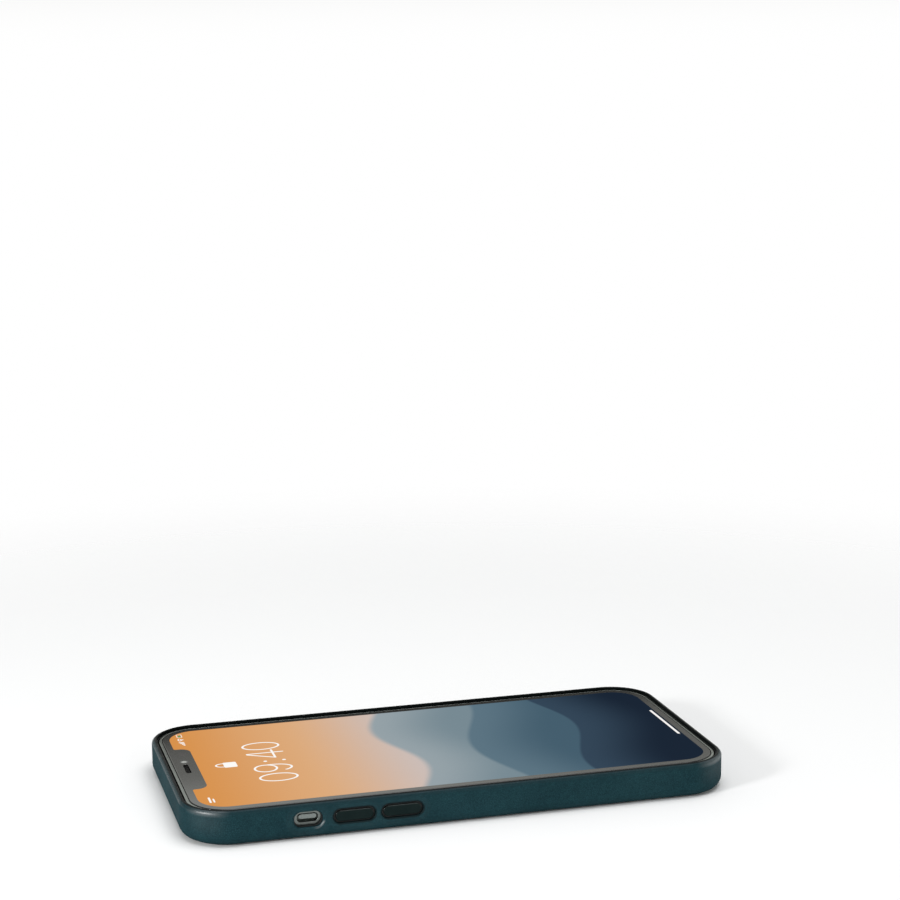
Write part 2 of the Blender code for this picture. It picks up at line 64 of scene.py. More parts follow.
# ------------------------------------------------------------------ sizes, in mm, as in the frame
HALF_W, HALF_L, CORNER = 35.75, 73.35, 11.2
WALL = 1.8
CASE_TOP = 9.6
GLASS_TOP = 9.1
OUT = HALF_W + WALL
MID_Z = 5.2
VOLUME_UP_Y, VOLUME_DOWN_Y, MUTE_Y, POWER_Y, SIM_Y = 31.3, 18.5, 43.5, 24.0, -14.0
CAMERA_X, CAMERA_Y = 24.0, 50.0
PLATEAU_W, PLATEAU_L = 15.6, 35.0
LENS_Y = (60.0, 46.6)
FLASH_Y = 36.8
SPEAKER_X = [13.0 + 2.6 * k for k in range(6)]
MIC_X = [-13.0 - 2.6 * k for k in range(3)]
SCREW_X = 7.6
ARC = 26  # segments round each corner of the outline


# ------------------------------------------------------------------ node graphs
class Val:
    """A number coming out of a node, with arithmetic."""

    def __init__(self, graph, socket):
        self.graph, self.socket = graph, socket

    def __add__(self, other):
        return self.graph.math("ADD", self, other)

    __radd__ = __add__

    def __sub__(self, other):
        return self.graph.math("SUBTRACT", self, other)

    def __rsub__(self, other):
        return self.graph.math("SUBTRACT", other, self)

    def __mul__(self, other):
        return self.graph.math("MULTIPLY", self, other)

    __rmul__ = __mul__

    def __truediv__(self, other):
        return self.graph.math("DIVIDE", self, other)

    def __neg__(self):
        return self.graph.math("MULTIPLY", self, -1.0)


class Graph:
    """A material with a Principled shader, and short names for the nodes that feed it."""

    def __init__(self, name, colour, roughness, metallic=0.0, **values):
        self.mat = bpy.data.materials.new(name)
        self.mat.use_nodes = True
        self.nodes, self.links = self.mat.node_tree.nodes, self.mat.node_tree.links
        self.shader = next(n for n in self.nodes if n.type == "BSDF_PRINCIPLED")
        self.put("Base Color", colour)
        self.put("Roughness", roughness)
        self.put("Metallic", metallic)
        for key, value in values.items():
            self.put(key.replace("_", " "), value)

    def put(self, name, value):
        socket = self.shader.inputs[name]
        if isinstance(value, Val):
            self.links.new(value.socket, socket)
        elif isinstance(value, bpy.types.NodeSocket):
            self.links.new(value, socket)
        elif isinstance(value, (tuple, list)):
            socket.default_value = (*value[:3], 1.0) if len(socket.default_value) == 4 else value
        else:
            socket.default_value = value

    def feed(self, socket, value):
        if isinstance(value, Val):
            self.links.new(value.socket, socket)
        elif isinstance(value, bpy.types.NodeSocket):
            self.links.new(value, socket)
        elif isinstance(value, (tuple, list)):
            socket.default_value = (*value[:3], 1.0) if len(socket.default_value) == 4 else value
        else:
            socket.default_value = value

    def math(self, operation, *args, clamp=False):
        node = self.nodes.new("ShaderNodeMath")
        node.operation = operation
        node.use_clamp = clamp
        for socket, value in zip(node.inputs, args):
            self.feed(socket, value)
        return Val(self, node.outputs[0])

    def mm(self):
        """The piece's own coordinates in millimetres."""
        if not hasattr(self, "_mm"):
            coordinates = self.nodes.new("ShaderNodeTexCoord")
            scaled = self.nodes.new("ShaderNodeVectorMath")
            scaled.operation = "SCALE"
            scaled.inputs["Scale"].default_value = 1000.0
            self.links.new(coordinates.outputs["Object"], scaled.inputs[0])
            self._mm = scaled.outputs[0]
        return self._mm

    def xyz(self):
        if not hasattr(self, "_xyz"):
            split = self.nodes.new("ShaderNodeSeparateXYZ")
            self.links.new(self.mm(), split.inputs[0])
            self._xyz = [Val(self, s) for s in split.outputs]
        return self._xyz

    def stretched(self, sx, sy, sz):
        """The coordinates in millimetres, each axis multiplied."""
        node = self.nodes.new("ShaderNodeVectorMath")
        node.operation = "MULTIPLY"
        self.links.new(self.mm(), node.inputs[0])
        node.inputs[1].default_value = (sx, sy, sz)
        return node.outputs[0]

    def noise(self, size, detail=3.0, rough=0.55, vector=None, distortion=0.0):
        """Noise whose blobs are about size millimetres across, from 0 to 1."""
        node = self.nodes.new("ShaderNodeTexNoise")
        self.links.new(vector or self.mm(), node.inputs["Vector"])
        node.inputs["Scale"].default_value = 1.0 / size
        node.inputs["Detail"].default_value = detail
        node.inputs["Roughness"].default_value = rough
        node.inputs["Distortion"].default_value = distortion
        return Val(self, node.outputs["Fac"])

    def cells(self, size, feature="F1", output="Distance", vector=None, randomness=1.0):
        node = self.nodes.new("ShaderNodeTexVoronoi")
        node.feature = feature
        self.links.new(vector or self.mm(), node.inputs["Vector"])
        node.inputs["Scale"].default_value = 1.0 / size
        node.inputs["Randomness"].default_value = randomness
        return Val(self, node.outputs[output])

    def step(self, value, low, high, to_low=0.0, to_high=1.0, smooth=True):
        node = self.nodes.new("ShaderNodeMapRange")
        node.interpolation_type = "SMOOTHSTEP" if smooth else "LINEAR"
        node.clamp = True
        for name, v in (
            ("Value", value),
            ("From Min", low),
            ("From Max", high),
            ("To Min", to_low),
            ("To Max", to_high),
        ):
            self.feed(node.inputs[name], v)
        return Val(self, node.outputs["Result"])

    def mix(self, factor, a, b):
        node = self.nodes.new("ShaderNodeMix")
        node.data_type = "RGBA"
        self.feed(node.inputs[0], factor)
        self.feed(node.inputs[6], a)
        self.feed(node.inputs[7], b)
        return node.outputs[2]

    def bump(self, height, distance_mm, strength=1.0):
        """Adds a relief of that depth, on top of any before it."""
        node = self.nodes.new("ShaderNodeBump")
        node.inputs["Strength"].default_value = strength
        node.inputs["Distance"].default_value = distance_mm * MM
        self.links.new(height.socket, node.inputs["Height"])
        if hasattr(self, "_normal"):
            self.links.new(self._normal, node.inputs["Normal"])
        self._normal = node.outputs["Normal"]
        self.links.new(self._normal, self.shader.inputs["Normal"])
        self.links.new(self._normal, self.shader.inputs["Coat Normal"])

    def smallest(self, *values):
        out = values[0]
        for v in values[1:]:
            out = self.math("MINIMUM", out, v)
        return out

    def largest(self, *values):
        out = values[0]
        for v in values[1:]:
            out = self.math("MAXIMUM", out, v)
        return out

    def length(self, u, v):
        return self.math("SQRT", u * u + v * v)


# ------------------------------------------------------------------ outlines, in mm
def corner_arcs(half_u, half_v, radius, steps=ARC, at=(0.0, 0.0)):
    points = []
    for quarter, (su, sv) in enumerate(((1, 1), (-1, 1), (-1, -1), (1, -1))):
        for k in range(steps + 1):
            a = (quarter + k / steps) * pi / 2
            points.append(
                (
                    at[0] + su * (half_u - radius) + radius * cos(a),
                    at[1] + sv * (half_v - radius) + radius * sin(a),
                )
            )
    return points


def phone(grow, steps=ARC):
    return corner_arcs(HALF_W + grow, HALF_L + grow, CORNER + grow, steps)


def stadium(length, height, grow=0.0, steps=20):
    r = height / 2 + grow
    half = length / 2 - height / 2
    return [
        (
            side * half + r * cos(start + pi * k / steps),
            r * sin(start + pi * k / steps),
        )
        for side, start in ((1, -pi / 2), (-1, pi / 2))
        for k in range(steps + 1)
    ]


def upright(width, length, grow=0.0, steps=24):
    return [(-v, u) for u, v in stadium(length, width, grow, steps)]


def circle(radius, count=48):
    return [
        (radius * cos(2 * pi * k / count), radius * sin(2 * pi * k / count))
        for k in range(count)
    ]


def rounded_path(points, step=15.0, closed=False):
    """Corner points (u, v, radius) turned into a path with arcs."""
    out = []
    n = len(points)
    for i, (u, v, r) in enumerate(points):
        if not r or (not closed and i in (0, n - 1)):
            out.append((u, v))
            continue
        b = Vector((u, v))
        d1 = (Vector(points[i - 1][:2]) - b).normalized()
        d2 = (Vector(points[(i + 1) % n][:2]) - b).normalized()
        angle = d1.angle(d2)
        centre = b + (d1 + d2).normalized() * (r / sin(angle / 2))
        reach = r / tan(angle / 2)
        first = b + d1 * reach - centre
        last = b + d2 * reach - centre
        a0 = atan2(first.y, first.x)
        sweep = (atan2(last.y, last.x) - a0 + pi) % (2 * pi) - pi
        count = max(1, ceil(abs(sweep) / radians(step) - 1e-6))
        for k in range(count + 1):
            a = a0 + sweep * k / count
            out.append((centre.x + r * cos(a), centre.y + r * sin(a)))
    return out


# ------------------------------------------------------------------ solids
def as_object(name, vertices, faces):
    """A new object from points in mm, its faces turned outwards."""
    mesh = bpy.data.meshes.new(name)
    mesh.from_pydata([(x * MM, y * MM, z * MM) for x, y, z in vertices], [], faces)
    work = bmesh.new()
    work.from_mesh(mesh)
    bmesh.ops.recalc_face_normals(work, faces=work.faces)
    if work.calc_volume(signed=True) < 0:
        bmesh.ops.reverse_faces(work, faces=work.faces)
    work.to_mesh(mesh)
    work.free()
    made = bpy.data.objects.new(name, mesh)
    bpy.context.scene.collection.objects.link(made)
    return made


def lofted(name, sections, caps=True, loop=False):
    """A skin over sections with as many points each; its ends closed, or joined to each other."""
    n = len(sections[0])
    vertices = [p for section in sections for p in section]
    faces = []
    rows = len(sections)
    for j in range(rows if loop else rows - 1):
        a, b = j * n, ((j + 1) % rows) * n
        for i in range(n):
            k = (i + 1) % n
            faces.append((a + i, a + k, b + k, b + i))
    if caps and not loop:
        faces.append(tuple(range(n - 1, -1, -1)))
        faces.append(tuple(range((rows - 1) * n, rows * n)))
    return as_object(name, vertices, faces)


def swept(name, profile, loop=False):
    """A profile of (distance from the phone's side, z) carried round the outline."""
    return lofted(
        name, [[(x, y, z) for x, y in phone(o)] for o, z in profile], not loop, loop
    )


def placed(points, axis, at, level):
    """Outline points (u, v) put on the plane at level across axis."""
    if axis == "X":
        return [(level, at[0] + u, at[1] + v) for u, v in points]
    if axis == "Y":
        return [(at[0] + u, level, at[1] + v) for u, v in points]
    return [(at[0] + u, at[1] + v, level) for u, v in points]


def prism(name, shape, axis, at, start, towards, levels):
    """A solid from an outline shape(grow) at levels (depth, grow), going from start in the direction towards."""
    return lofted(
        name,
        [placed(shape(g), axis, at, start + towards * d) for d, g in levels],
    )


def edge_in(wide, steps=6, deep=None):
    """Levels of a rounded edge: the outline starts small and reaches its size further in."""
    deep = deep or wide
    return [
        (deep * (1 - cos(a)), -wide * (1 - sin(a)))
        for a in (k / steps * pi / 2 for k in range(steps + 1))
    ]


def flare(wide, deep, through, steps=6, out=0.6):
    """Levels of a cutter that leaves a rounded edge, wide by deep, at the surface it enters."""
    levels = [(-out, wide)]
    levels += [
        (deep * (1 - cos(a)), wide * (1 - sin(a)))
        for a in (k / steps * pi / 2 for k in range(steps + 1))
    ]
    return levels + [(through, 0.0)]


def turned(name, profile, at, count=72):
    """A closed profile of (radius, z) turned round a vertical axis."""
    sections = [
        [(at[0] + r * x, at[1] + r * y, z) for x, y in circle(1.0, count)]
        for r, z in profile
    ]
    return lofted(name, sections, loop=True)


def turned_solid(name, profile, at, count=64):
    """The same, closed at both ends by a flat face."""
    return lofted(
        name,
        [
            [(at[0] + r * x, at[1] + r * y, z) for x, y in circle(1.0, count)]
            for r, z in profile
        ],
    )


def box(name, x, y, z):
    return lofted(
        name,
        [
            [(x[0], y[0], c), (x[1], y[0], c), (x[1], y[1], c), (x[0], y[1], c)]
            for c in z
        ],
    )


def joined(name, pieces):
    work = bmesh.new()
    for piece in pieces:
        work.from_mesh(piece.data)
        bpy.data.objects.remove(piece, do_unlink=True)
    mesh = bpy.data.meshes.new(name)
    work.to_mesh(mesh)
    work.free()
    made = bpy.data.objects.new(name, mesh)
    bpy.context.scene.collection.objects.link(made)
    return made


def carve(obj, *others, operation="DIFFERENCE"):
    """Applies exact Booleans, then clears what they leave behind."""
    for other in others:
        step = obj.modifiers.new("carve", "BOOLEAN")
        step.operation = operation
        step.solver = "EXACT"
        step.object = other
    bpy.context.view_layer.update()
    graph = bpy.context.evaluated_depsgraph_get()
    mesh = bpy.data.meshes.new_from_object(obj.evaluated_get(graph))
    obj.modifiers.clear()
    old = obj.data
    obj.data = mesh
    mesh.name = obj.name
    bpy.data.meshes.remove(old)
    for other in others:
        bpy.data.objects.remove(other, do_unlink=True)
    work = bmesh.new()
    work.from_mesh(mesh)
    bmesh.ops.remove_doubles(work, verts=work.verts, dist=2e-7)
    bmesh.ops.dissolve_degenerate(work, edges=work.edges, dist=1e-7)
    work.to_mesh(mesh)
    work.free()
    return obj


def dress(obj, material, body=None, stands_for=(), sharp=32.0, weighted=True):
    """Gives a finished piece its material, shading and body, and hides the frame parts it stands for."""
    obj.data.materials.clear()
    for m in material if isinstance(material, (list, tuple)) else [material]:
        obj.data.materials.append(m)
    obj.data.shade_smooth()
    obj.data.set_sharp_from_angle(angle=radians(sharp))
    if weighted:
        even = obj.modifiers.new("even_shading", "WEIGHTED_NORMAL")
        even.keep_sharp = True
        even.weight = 60
    if body:
        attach(obj, body)
    if stands_for:
        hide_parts(*([stands_for] if isinstance(stands_for, str) else stands_for))
    return obj


# ================================================================== materials
def off_side(g):
    """Distance outwards from the phone's side, in mm."""
    x, y, z = g.xyz()
    u = g.math("ABSOLUTE", x) - (HALF_W - CORNER)
    v = g.math("ABSOLUTE", y) - (HALF_L - CORNER)
    outside = g.length(g.largest(u, 0.0), g.largest(v, 0.0))
    return outside + g.smallest(g.largest(u, v), 0.0) - CORNER


def leather_material():
    g = Graph("teal_leather", (0.02, 0.06, 0.075), 0.5, Specular_IOR_Level=0.09, Coat_Roughness=0.38, Coat_IOR=1.9)
    x, y, z = g.xyz()
    warp = g.noise(2.2, 2)
    # fine pebbled grain: rounded plateaus between narrow creases
    node = g.nodes.new("ShaderNodeVectorMath")
    node.operation = "ADD"
    g.links.new(g.mm(), node.inputs[0])
    shift = g.nodes.new("ShaderNodeCombineXYZ")
    for socket in shift.inputs:
        g.links.new((warp * 0.5).socket, socket)
    g.links.new(shift.outputs[0], node.inputs[1])
    bent = node.outputs[0]
    creases = g.step(g.cells(0.46, "DISTANCE_TO_EDGE", vector=bent), 0.0, 0.22)
    pores = g.step(g.cells(1.25, "F1", vector=bent), 0.02, 0.10)
    wrinkles = g.noise(1.7, 4, 0.6, vector=g.stretched(1.0, 0.55, 1.6), distortion=0.6)
    drift = g.noise(16.0, 3, 0.6)
    mottle = g.noise(3.2, 4, 0.62)
    base = g.mix(g.step(drift, 0.3, 0.7), (0.0078, 0.0335, 0.0420), (0.0117, 0.0445, 0.0545))
    base = g.mix(g.step(mottle, 0.35, 0.75, 0.0, 0.5), base, (0.0150, 0.0550, 0.0655))
    base = g.mix((1.0 - creases) * 0.5, base, (0.0025, 0.0130, 0.0170))
    # painted shade, partly edge paint: the hide is darkened at its cut edges and inside the lip, standing in for the
    # shade that falls there
    out = off_side(g)
    cut_edge_paint_and_shade = g.step(out + mottle * 0.12, 1.36, 1.12) * g.step(z, 2.6, 2.9)
    lip_paint_and_shade = g.step(out + mottle * 0.12, 1.45, 0.95) * g.step(z, 8.4, 8.6)
    dark = g.largest(cut_edge_paint_and_shade * g.step(z, 8.6, 8.4), lip_paint_and_shade)
    # distances to the key pockets; the hide round them is darkened as painted shade of the pockets
    pockets = []
    for centre, length, side in ((VOLUME_UP_Y, 11.0, -1), (VOLUME_DOWN_Y, 11.0, -1), (POWER_Y, 17.4, 1)):
        along = g.largest(g.math("ABSOLUTE", y - centre) - (length - 3.7) / 2, 0.0)
        pockets.append(g.length(along, z - MID_Z) - 1.85 + g.step(x * side, 10.0, 0.0, 0.0, 50.0))
    rim = g.smallest(*pockets)
    switch = g.length(g.largest(g.math("ABSOLUTE", y - MUTE_Y) - 1.75, 0.0), z - MID_Z) - 2.05
    switch = switch + g.step(x, -10.0, 0.0, 0.0, 50.0)
    # painted shade: a dark band round the key pockets
    dark = g.largest(dark, g.step(rim + mottle * 0.15, 0.75, 0.2) * 0.8)
    # painted shade: the hide is darkened towards the top rim, where the light from above falls
    base = g.mix(g.step(z + mottle * 0.5, 8.3, 9.6, 0.0, 0.55), base, (0.0045, 0.0150, 0.0190))
    # the painted shade and edge paint of the masks above, mixed in near-black
    base = g.mix(dark, base, (0.0012, 0.0028, 0.0028))
    g.put("Base Color", base)
    # handled rims are smoother than the open faces
    polished = g.largest(g.step(z, 8.4, 8.9), g.step(rim, 2.2, 1.2), g.step(switch, 2.6, 1.6))
    rough = g.step(mottle, 0.2, 0.8, 0.74, 0.86) + (1.0 - creases) * 0.08 - polished * 0.52
    g.put("Roughness", rough + dark * 0.12)
    # burnished where hands rub it: the corners of the rim, and the rolled edge below the switch
    u = g.math("ABSOLUTE", x) - (HALF_W - CORNER)
    v = g.math("ABSOLUTE", y) - (HALF_L - CORNER)
    corner = g.step(v, 1.0, 7.0) * g.step(u, 4.5, 10.0) * g.largest(g.step(z, 7.4, 8.9), g.step(z, 1.0, 7.0, 0.0, 0.17)) * g.step(out, 0.9, 1.3)
    below = g.step(switch, 0.72, 0.5) * g.step(switch, 0.0, 0.2) * g.step(z, 5.0, 4.2) * g.step(y, 42.5, 40.5)
    worn = g.largest(corner, below) * g.step(mottle, 0.2, 0.6, 0.7, 1.0)
    g.put("Coat Weight", worn * (1.0 - dark * 0.5))
    g.bump(wrinkles, 0.035, 0.5)
    g.bump(creases, 0.022, 0.7)
    g.bump(pores, 0.02, 0.35)
    g.bump(g.step(g.math("ABSOLUTE", rim - 1.05), 0.30, 0.0), 0.05, 0.6)
    return g.mat


def lining_material(name="teal_microfibre", rings=True):
    g = Graph(name, (0.02, 0.06, 0.07), 0.95, Sheen_Weight=0.6, Sheen_Roughness=0.45, Specular_IOR_Level=0.2)
    x, y, z = g.xyz()
    nap = g.noise(0.22, 4, 0.7)
    brushed = g.noise(5.0, 3, 0.6, vector=g.stretched(1.0, 0.5, 1.0))
    base = g.mix(nap, (0.014, 0.045, 0.055), (0.030, 0.085, 0.098))
    base = g.mix(g.step(brushed, 0.35, 0.7, 0.0, 0.4), base, (0.038, 0.100, 0.112))
    height = nap
    if rings:
        r = g.length(x, y)
        press = g.smallest(
            g.step(g.math("ABSOLUTE", r - 23.0), 0.0, 0.35),
            g.step(g.math("ABSOLUTE", r - 27.6), 0.0, 0.35),
        )
        base = g.mix((1.0 - press) * 0.5, base, (0.008, 0.028, 0.034))
        g.bump(press, 0.06, 0.8)
    g.put("Base Color", base)
    g.bump(height, 0.05, 0.8)
    return g.mat


def metal_material(name, dark, light, low, high, grain=0.06, stretch=(1.0, 1.0, 1.0), coat=0.0, polished=None):
    """Satin metal: fine drawn grain, cloudy roughness and slight colour drift."""
    g = Graph(name, light, (low + high) / 2, 1.0, Coat_Weight=coat, Coat_Roughness=0.15)
    fine = g.noise(grain, 3, 0.6, vector=g.stretched(*stretch))
    cloud = g.noise(4.0, 3, 0.55)
    g.put("Base Color", g.mix(g.step(fine * 0.5 + cloud * 0.5, 0.3, 0.7), dark, light))
    rough = g.step(fine * 0.6 + cloud * 0.4, 0.3, 0.7, low, high)
    if polished is not None:
        rough = rough + g.step(g.xyz()[2], polished - 0.15, polished + 0.05, 0.0, 0.11 - low)
    g.put("Roughness", rough)
    g.bump(fine if polished is None else fine * g.step(g.xyz()[2], polished, polished - 0.3), 0.0015, 0.25)
    return g.mat


def cap_material():
    """Dark satin key caps, their rounded upper rims polished by use."""
    g = Graph("cap_dark_metal", (0.005, 0.011, 0.011), 0.35, 1.0, Coat_Roughness=0.12)
    x, y, z = g.xyz()
    fine = g.noise(0.07, 3, 0.6, vector=g.stretched(1.0, 0.25, 2.0))
    cloud = g.noise(4.0, 3, 0.55)
    g.put("Base Color", g.mix(g.step(fine * 0.5 + cloud * 0.5, 0.3, 0.7), (0.0065, 0.0140, 0.0140), (0.0110, 0.0195, 0.0190)))
    g.put("Roughness", g.step(fine * 0.6 + cloud * 0.4, 0.3, 0.7, 0.30, 0.42))
    rolled = g.step(g.math("ABSOLUTE", x), OUT - 0.29, OUT - 0.36) * g.step(z, 5.0, 5.8)
    g.put("Coat Weight", g.largest(rolled, 0.05))
    g.bump(fine, 0.0015, 0.25)
    return g.mat


def plastic_material(name, a, b, low, high, grain=0.12, deep=0.008, metallic=0.0):
    """Moulded or coated surface with a fine texture."""
    g = Graph(name, b, (low + high) / 2, metallic)
    fine = g.noise(grain, 3, 0.6)
    cloud = g.noise(3.0, 3, 0.55)
    g.put("Base Color", g.mix(g.step(cloud * 0.6 + fine * 0.4, 0.3, 0.7), a, b))
    g.put("Roughness", g.step(fine, 0.3, 0.7, low, high))
    g.bump(fine, deep, 0.5)
    return g.mat


def board_material():
    g = Graph("circuit_board", (0.01, 0.05, 0.03), 0.35)
    x, y, z = g.xyz()
    lines = g.step(g.math("ABSOLUTE", g.math("FRACT", x * 1.25) - 0.5), 0.30, 0.36)
    cross = g.step(g.math("ABSOLUTE", g.math("FRACT", y * 0.8) - 0.5), 0.38, 0.42)
    patch = g.step(g.cells(5.0, "F1", "Color"), 0.45, 0.5)
    track = g.mix(patch, g.mix(lines, (0.006, 0.035, 0.022), (0.014, 0.075, 0.045)), g.mix(cross, (0.006, 0.035, 0.022), (0.014, 0.075, 0.045)))
    pads = g.step(g.cells(1.6, "F1", randomness=0.6), 0.16, 0.13)
    g.put("Base Color", g.mix(pads, track, (0.55, 0.42, 0.18)))
    g.put("Metallic", pads * 0.9)
    g.put("Roughness", g.step(g.noise(0.5), 0.3, 0.7, 0.28, 0.42))
    g.bump(lines, 0.02, 0.5)
    return g.mat


def coil_material():
    g = Graph("wound_copper", (0.6, 0.28, 0.14), 0.35, 1.0)
    x, y, z = g.xyz()
    turns = g.math("ABSOLUTE", g.math("FRACT", g.length(x, y) * 1.35) - 0.5) * 2.0
    g.put("Base Color", g.mix(g.step(turns, 0.0, 0.35), (0.12, 0.045, 0.02), (0.72, 0.36, 0.19)))
    g.put("Roughness", g.step(g.noise(0.4), 0.3, 0.7, 0.26, 0.42))
    g.bump(g.step(turns, 0.0, 0.8), 0.12, 0.9)
    return g.mat


def battery_material():
    g = Graph("battery_pouch", (0.02, 0.02, 0.022), 0.4)
    x, y, z = g.xyz()
    folds = g.noise(7.0, 4, 0.6, distortion=0.4)
    label = g.largest(
        g.math("ABSOLUTE", x - 10.75) - 14.0, g.math("ABSOLUTE", y + 22.0) - 18.0
    )
    g.put("Base Color", g.mix(g.step(label, 0.15, -0.15), (0.018, 0.018, 0.020), (0.035, 0.035, 0.038)))
    g.put("Roughness", g.step(folds, 0.3, 0.7, 0.30, 0.48))
    g.bump(folds, 0.15, 0.5)
    return g.mat


def rear_glass_material(name="coloured_glass"):
    g = Graph(name, (0.03, 0.035, 0.04), 0.22, Coat_Weight=1.0, Coat_Roughness=0.03, Specular_IOR_Level=0.5)
    cloud = g.noise(30.0, 2, 0.5)
    fine = g.noise(0.35, 3, 0.6)
    g.put("Base Color", g.mix(cloud, (0.030, 0.036, 0.042), (0.042, 0.050, 0.057)))
    g.put("Roughness", g.step(fine, 0.3, 0.7, 0.20, 0.27))
    return g.mat


LIT_HALF_W, LIT_HALF_L, LIT_CORNER = 32.3, 70.2, 7.8
BAY_HALF, BAY_DEEP = 16.9, 4.2


def screen_material():
    """The laminated front: a black mask round a lit window that shows a plain picture, a clock, a lock and a bar."""
    g = Graph("laminated_screen", (0.004, 0.004, 0.0045), 0.18, Coat_Roughness=0.075, Specular_IOR_Level=0.0)
    x, y, z = g.xyz()
    ax = g.math("ABSOLUTE", x)
    ay = g.math("ABSOLUTE", y)

    def rounded_box(cx, cy, half_u, half_v, r, sx=None, sy=None):
        u = (g.math("ABSOLUTE", x - cx) if sx is None else sx) - (half_u - r)
        v = (g.math("ABSOLUTE", y - cy) if sy is None else sy) - (half_v - r)
        outside = g.length(g.largest(u, 0.0), g.largest(v, 0.0))
        return outside + g.smallest(g.largest(u, v), 0.0) - r

    def rim(cx, cy, a, b, stroke):
        """Distance to an ellipse's line, less half the stroke."""
        dx, dy = x - cx, y - cy
        k = g.length(dx / a, dy / b)
        grad = g.length(dx / (a * a), dy / (b * b))
        return g.math("ABSOLUTE", k * (k - 1.0) / g.largest(grad, 1e-4)) - stroke / 2

    def stroke(x0, y0, x1, y1, width):
        dx, dy = x1 - x0, y1 - y0
        along = ((x - x0) * dx + (y - y0) * dy) * (1.0 / (dx * dx + dy * dy))
        along = g.math("MAXIMUM", g.math("MINIMUM", along, 1.0), 0.0)
        return g.length(x - x0 - along * dx, y - y0 - along * dy) - width / 2

    def dot(cx, cy, r):
        return g.length(x - cx, y - cy) - r

    # the lit window, with a bay for the sensors
    window = rounded_box(0, 0, LIT_HALF_W, LIT_HALF_L, LIT_CORNER, ax, ay)
    bay = rounded_box(0, LIT_HALF_L, BAY_HALF, BAY_DEEP, 2.9, ax)
    window = g.math("SMOOTH_MAX", window, bay * -1.0, 1.1)
    lit = g.step(window, 0.03, -0.03)

    # a plain picture: a warm sky that pales downwards, over three rows of even waves
    def waves(level, height, length, phase):
        """Height above a row of waves, in mm."""
        return y - level - g.math("SINE", x * (radians(360.0) / length) + phase) * height

    ground = g.mix(g.step(y, 0.0, 40.0), (0.600, 0.530, 0.510), (0.740, 0.420, 0.210))
    ground = g.mix(g.step(y, 30.0, 75.0), ground, (0.700, 0.290, 0.070))
    for level, height, length, phase, blur, crest, foot in (
        (10.0, 4.0, 60.0, 0.0, 1.5, (0.310, 0.370, 0.400), (0.190, 0.260, 0.300)),
        (-15.0, 5.0, 80.0, 2.0, 1.0, (0.110, 0.180, 0.230), (0.060, 0.115, 0.160)),
        (-40.0, 4.0, 70.0, 4.0, 0.6, (0.034, 0.062, 0.098), (0.010, 0.019, 0.036)),
    ):
        above = waves(level, height, length, phase)
        shade = g.mix(g.step(above, -25.0, 0.0), foot, crest)
        ground = g.mix(g.step(above, blur, -blur), ground, shade)

    # clock digits, colon, lock, bar and plain status marks
    w = 0.6
    top, low, mid = 51.6, 41.4, 46.5
    marks = []
    for cx in (-13.6, 13.2):
        marks.append(rim(cx, mid, 2.95, 5.05, w))
    bowl = rim(-5.9, 48.55, 2.75, 3.0, w)
    tail = g.largest(
        rim(-5.9, mid, 2.8, 5.05, w),
        g.smallest(
            g.largest(y - 48.0, (x + 5.9) * -1.0), g.largest(y - 43.6, (x + 8.3) * -1.0)
        ),
    )
    marks += [bowl, tail]
    marks += [dot(0.0, 42.4, 0.52), dot(0.0, 47.6, 0.52)]
    marks += [
        stroke(6.6, 51.4, 2.6, 44.3, w),
        stroke(2.6, 44.3, 9.2, 44.3, w),
        stroke(7.1, 51.4, 7.1, 41.5, w),
    ]
    body = rounded_box(0.0, 57.3, 2.1, 1.8, 0.45)
    shackle = g.largest(rim(0.0, 59.3, 1.35, 1.9, 0.5), 58.9 - y)
    marks += [body, shackle]
    marks.append(stroke(-10.4, -69.2, 11.6, -69.2, 0.75))
    # right ear: level bars, a fan and a cell; left ear: a plain pair of strokes
    for k in range(4):
        half = 0.28 + 0.16 * k
        marks.append(rounded_box(20.2 + 0.85 * k, 66.4 + half, 0.28, half, 0.12))
    marks.append(
        g.largest(
            g.smallest(rim(25.1, 66.3, 1.45, 1.45, 0.32), rim(25.1, 66.3, 0.75, 0.75, 0.34), dot(25.1, 66.5, 0.28)),
            g.math("ABSOLUTE", x - 25.1) - (y - 66.1),
        )
    )
    cell = rounded_box(28.6, 67.0, 1.35, 0.68, 0.3)
    marks.append(g.math("ABSOLUTE", cell) - 0.09)
    cell_fill = rounded_box(28.3, 67.0, 0.78, 0.36, 0.12)
    marks.append(cell_fill)
    marks += [stroke(-28.0, 67.2, -24.4, 67.2, 0.55), stroke(-28.0, 66.2, -25.6, 66.2, 0.45)]
    ink = g.step(g.smallest(*marks), 0.05, -0.05)
    picture = g.mix(ink, ground, g.mix(g.step(cell_fill, 0.05, -0.05), (1.0, 0.985, 0.96), (0.10, 0.32, 0.12)))

    # faint cells of the panel, too fine to see from afar
    grid = g.noise(0.12, 1, 0.4)
    picture = g.mix(g.step(grid, 0.3, 0.7, 0.0, 0.05), picture, (0.0, 0.0, 0.0))

    # sensors behind the mask: camera beside the earpiece, flood light, ambient eye
    eye_r = g.length(x - 5.9, y - 69.0)
    eye = g.step(eye_r, 1.35, 1.2)
